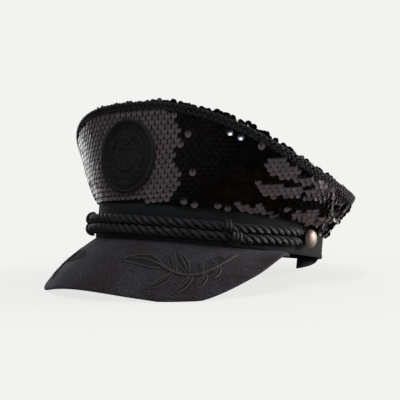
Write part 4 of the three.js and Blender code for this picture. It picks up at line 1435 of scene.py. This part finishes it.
class HAT_OT_badge(bpy.types.Operator):
    """Embroider the round badge with an anchor in a wreath"""

    bl_idname = "captain_hat.badge"
    bl_label = "Badge"

    def execute(self, context):
        base, way, out = badge_frame()
        r = BADGE_RADIUS
        # the padded ground, whose back follows the crown
        profile = [
            (r - 0.5, -2.5), (r - 0.3, 0), (r - 0.2, 1.4), (r - 0.8, 2.1), (r * 0.9, 2.2), (r * 0.6, 2.25),
            (r * 0.3, 2.3), (0.5, 2.3),
        ]
        disc = turned("badge_ground", [(w, w, z) for w, z in profile], 72)
        capped(disc)
        points = coordinates(disc.data) / MM
        x, y, z = points.T
        face, back = z - BADGE_BEND * x**2, -0.3 - 0.0055 * x**2
        z = np.where(z < 1, back, face)
        points = base + np.array([1.0, 0, 0]) * x[:, None] + way * y[:, None] + out * z[:, None]
        move_to(disc.data, seated(points))
        weld(disc)
        stitched = satin_stitched("rayon_thread_satin_stitched", colours().satin, 0.55)
        parts = [disc]
        self.ring(parts, "border", r - 1.6, 0, 1.7, 1.25, out)
        for number, radius in enumerate((24.2, 22.4)):
            self.ring(parts, f"cord_ring_{number}", radius, 0, 0.6, 0.75, out)
        self.anchor(parts, out)
        self.wreath(parts, out)
        piece = joined("embroidered_badge", parts)
        shaded(piece, 60)
        dressed(piece, "satin_thread", stitched)
        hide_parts("badge")
        return {"FINISHED"}

    def ring(self, parts, name, radius, above, half, height, out, count=160):
        """A stitched ring about a point above the badge's middle."""
        a = np.linspace(0, 2 * np.pi, count + 1)
        path = on_badge(radius * np.sin(a), above + radius * np.cos(a))
        normal = np.broadcast_to(out, path.shape)
        across = unit(np.cross(along_path(path, True), normal))

        def place(u, v):
            i = np.rint(u * (len(path) - 1)).astype(int)
            a = 2 * np.pi * v
            lift = np.where(np.cos(a) > -0.2, height * (np.cos(a) + 0.2) / 1.2, -0.15)
            return path[i] + across[i] * (half * np.sin(a))[:, None] + normal[i] * lift[:, None]

        parts.append(laid_grid(name, count, 10, place, (path_length(path), 4 * half)))

    def stroke(self, parts, name, points, half, height, out, count=30, groove=0.0):
        """A stitched stroke through points of the badge's face. Its half width may change along it."""
        rows = np.array(points, float)
        t = np.linspace(0, 1, count)
        flat = spline(rows, count) if len(rows) > 2 else rows[0] + (rows[1] - rows[0]) * t[:, None]
        path = on_badge(flat[:, 0], flat[:, 1])
        ends = rounded_ends(t)
        width = half(t) if callable(half) else np.full(count, half)
        normal = np.broadcast_to(out, path.shape)
        parts.append(ridge(name, path, normal, width * ends, height, 8, groove))

    def anchor(self, parts, out):
        self.stroke(parts, "shank", [(0, 8.6), (0, -10.6)], 1.25, 1.1, out)
        self.stroke(parts, "stock", [(-6.2, 6.2), (6.2, 6.2)], 1.0, 1.15, out)
        arc, reach = np.radians(np.linspace(-66, 66, 9)), 9.6
        arms = np.stack([reach * np.sin(arc), -1.4 - reach * np.cos(arc)], -1)
        self.stroke(parts, "arms", arms, lambda t: 0.9 + 0.6 * np.sin(np.pi * t), 1.15, out, 50)
        for side in (-1, 1):
            self.stroke(parts, f"fluke_{side + 1}", [(side * 6.9, -7.4), (side * 10.2, -1.6)],
                        lambda t: 2.3 * np.sin(np.pi * t**0.7) + 0.1, 1.2, out, 20, 0.4)
        self.ring(parts, "shackle", 2.3, 11.0, 0.7, 1.1, out, 40)

    def wreath(self, parts, out):
        radius, lean, sprout = 17.2, 15, 3.3

        def on_wreath(side, degrees, away):
            a = np.radians(degrees)
            return np.stack([side * away * np.sin(a), away * np.cos(a)], -1)

        for side in (-1, 1):
            stem = on_wreath(side, np.linspace(176, 28, 12), radius)
            self.stroke(parts, f"wreath_stem_{side + 1}", stem, 0.5, 0.7, out, 60)
            for k, degrees in enumerate(np.linspace(168, 34, 9)):
                for inward in (-1, 1):
                    foot = on_wreath(side, degrees, radius)
                    tip = on_wreath(side, degrees - lean, radius + inward * sprout)
                    self.stroke(parts, f"wreath_leaf_{side + 1}_{k}_{inward + 1}", [foot, tip],
                                lambda t: 1.35 * np.sin(np.pi * t**0.8) + 0.08, 0.85, out, 14, 0.5)


# Stage

# the camera, seen from the upright hat: its turn round it, its tilt and its roll in degrees, its place
# across, up and away in millimetres, and its lens and the photo's width in the photo's pixels
CAMERA_AZIMUTH, CAMERA_ELEVATION, CAMERA_ROLL = 43.39, -3.65, 5.2
CAMERA_ACROSS, CAMERA_UP, CAMERA_AWAY = -11.85, 38.57, 1100.0
CAMERA_FOCAL, PHOTO_WIDTH = 1336.1, 400


def camera_frame():
    """The camera's place and its right, up and back ways in the upright hat's frame, in millimetres."""
    azimuth, elevation, roll = np.radians([CAMERA_AZIMUTH, CAMERA_ELEVATION, CAMERA_ROLL])
    flat = math.cos(elevation)
    back = np.array([math.sin(azimuth) * flat, -math.cos(azimuth) * flat, math.sin(elevation)])
    level = np.array([math.cos(azimuth), math.sin(azimuth), 0.0])
    rise = np.cross(back, level)
    place = CAMERA_ACROSS * level + CAMERA_UP * rise + CAMERA_AWAY * back
    right = math.cos(roll) * level + math.sin(roll) * rise
    up = -math.sin(roll) * level + math.cos(roll) * rise
    return place, right, up, back


def studio(azimuth, away, height):
    """A place in the studio by azimuth round the hat, distance and height."""
    a = math.radians(azimuth)
    return (away * math.sin(a), -away * math.cos(a), height)


def softbox(name, place, target, size, power, tint):
    """A square studio light aimed at a point."""
    light = started(name, bpy.ops.object.light_add, type="AREA", location=place)
    light.data.shape = "SQUARE"
    light.data.size = size
    light.data.energy = power
    light.data.color = tint
    light.rotation_euler = (Vector(target) - Vector(place)).to_track_quat("-Z", "Y").to_euler()
    return light


class HAT_OT_stage(bpy.types.Operator):
    """Lay the pale floor, set the soft lights and the camera"""

    bl_idname = "captain_hat.stage"
    bl_label = "Stage"

    def execute(self, context):
        scene = context.scene
        scene.view_settings.view_transform = "Standard"
        scene.view_settings.look = "None"
        place, right, up, back = camera_frame()
        data = bpy.data.cameras.new("camera")
        data.sensor_width = 36.0
        data.lens = data.sensor_width * CAMERA_FOCAL / PHOTO_WIDTH
        data.clip_end = 20
        camera = bpy.data.objects.new("camera", data)
        scene.collection.objects.link(camera)
        turned_to = np.stack([LEANT @ right, LEANT @ up, LEANT @ back], -1)
        camera.matrix_world = Matrix.Translation(Vector(seated(place))) @ Matrix(turned_to.tolist()).to_4x4()
        scene.camera = camera
        self.floor()
        self.world(scene)
        middle = (0.0, 0.0, 0.06)
        warm, pale, blue = (1.0, 0.98, 0.97), (0.98, 0.99, 1.0), (0.76, 0.85, 1.0)
        # each light has a size in metres, a power in watts and a tint
        softbox("left_light", studio(-115, 1.4, 0.22), middle, 0.8, 9, warm)
        softbox("right_light", studio(141, 1.3, 0.28), middle, 0.5, 17, warm)
        softbox("glint_light", studio(*GLINT_LIGHT), middle, 0.15, 10, blue)
        for number, (place, power) in enumerate(((studio(88, 1.6, 0.3), 5.5), (studio(43, 0.3, 1.7), 6))):
            light = softbox(f"fill_light_{number}", place, middle, 1.0, power, pale)
            # these only fill the shadows, so the black sequins mirror neither
            light.visible_glossy = False
        return {"FINISHED"}

    def floor(self):
        floor = started("pale_floor", bpy.ops.mesh.primitive_plane_add, size=30)
        material, tree = new_material("paper_backdrop_rolled")
        pale = rgba(colours().floor)
        place = add(tree, "TexCoord").outputs["Object"]
        away = add(tree, "VectorMath", {0: place}, operation="LENGTH").outputs["Value"]
        fade = add(tree, "MapRange", {
            "Value": away, "From Min": 0.13, "From Max": 0.3, "To Min": 0.85, "To Max": 1.0},
            interpolation_type="SMOOTHSTEP")
        rays = add(tree, "LightPath").outputs
        seen = add(tree, "Math", {0: fade, 1: rays["Is Camera Ray"]}, operation="MULTIPLY")
        grain = add(tree, "TexNoise", {"Vector": place, "Scale": 400.0, "Detail": 2.0})
        paper = add(tree, "Mix", {0: grain, 6: rgba(colours().floor, 0.985), 7: pale}, data_type="RGBA")
        # glossy rays see the floor painted as a dim, warm room in front of the hat and as the pale paper
        # behind it: a painted reflection
        behind = add(tree, "MapRange", {
            "Value": add(tree, "SeparateXYZ", {0: place}).outputs[1], "From Min": 0.1, "From Max": 0.35})
        dim, bright = rgba(linear("#4a3a30")), rgba(linear("#e6e0dc"))
        painted_room_reflection = add(tree, "Mix", {0: behind, 6: dim, 7: bright}, data_type="RGBA")
        mirrored = add(tree, "Mix", {0: rays["Is Glossy Ray"], 6: paper, 7: painted_room_reflection}, data_type="RGBA")
        matt = add(tree, "BsdfDiffuse", {"Color": mirrored})
        glow = add(tree, "Emission", {"Color": pale})
        add(tree, "OutputMaterial", {0: add(tree, "MixShader", {0: seen, 1: matt, 2: glow})})
        floor.data.materials.append(material)

    def world(self, scene):
        world = scene.world or bpy.data.worlds.new("studio")
        scene.world = world
        world.use_nodes = True
        tree = world.node_tree
        tree.nodes.clear()
        ray = add(tree, "LightPath").outputs["Is Camera Ray"]
        seen = add(tree, "Background", {"Color": rgba(colours().floor)})
        dim = add(tree, "Background", {"Color": (0.92, 0.95, 1.0, 1.0), "Strength": 0.12})
        add(tree, "OutputWorld", {0: add(tree, "MixShader", {0: ray, 1: dim, 2: seen})})


# Panel and registration

STEPS = (HAT_OT_stage, HAT_OT_band, HAT_OT_sweatband, HAT_OT_crown, HAT_OT_sequins, HAT_OT_braid, HAT_OT_peak,
         HAT_OT_sprigs, HAT_OT_chin_cord, HAT_OT_knots, HAT_OT_buttons, HAT_OT_badge)


class HAT_PT_panel(bpy.types.Panel):
    """The hat's settings and its pieces"""

    bl_idname = "HAT_PT_panel"
    bl_label = "Captain Hat"
    bl_space_type = "VIEW_3D"
    bl_region_type = "UI"
    bl_category = "Captain Hat"

    def draw(self, context):
        for group in (context.scene.hat_sizes, context.scene.hat_colours):
            box = self.layout.box()
            for key in group.__annotations__:
                box.prop(group, key)
        for step in STEPS:
            self.layout.operator(step.bl_idname)


CLASSES = (HatSizes, HatColours, *STEPS, HAT_PT_panel)


def register():
    for cls in CLASSES:
        bpy.utils.register_class(cls)
    bpy.types.Scene.hat_sizes = bpy.props.PointerProperty(type=HatSizes)
    bpy.types.Scene.hat_colours = bpy.props.PointerProperty(type=HatColours)


def unregister():
    del bpy.types.Scene.hat_colours
    del bpy.types.Scene.hat_sizes
    for cls in reversed(CLASSES):
        bpy.utils.unregister_class(cls)


def main():
    register()
    for step in STEPS:
        getattr(bpy.ops.captain_hat, step.bl_idname.split(".")[1])()


if __name__ == "__main__":
    main()
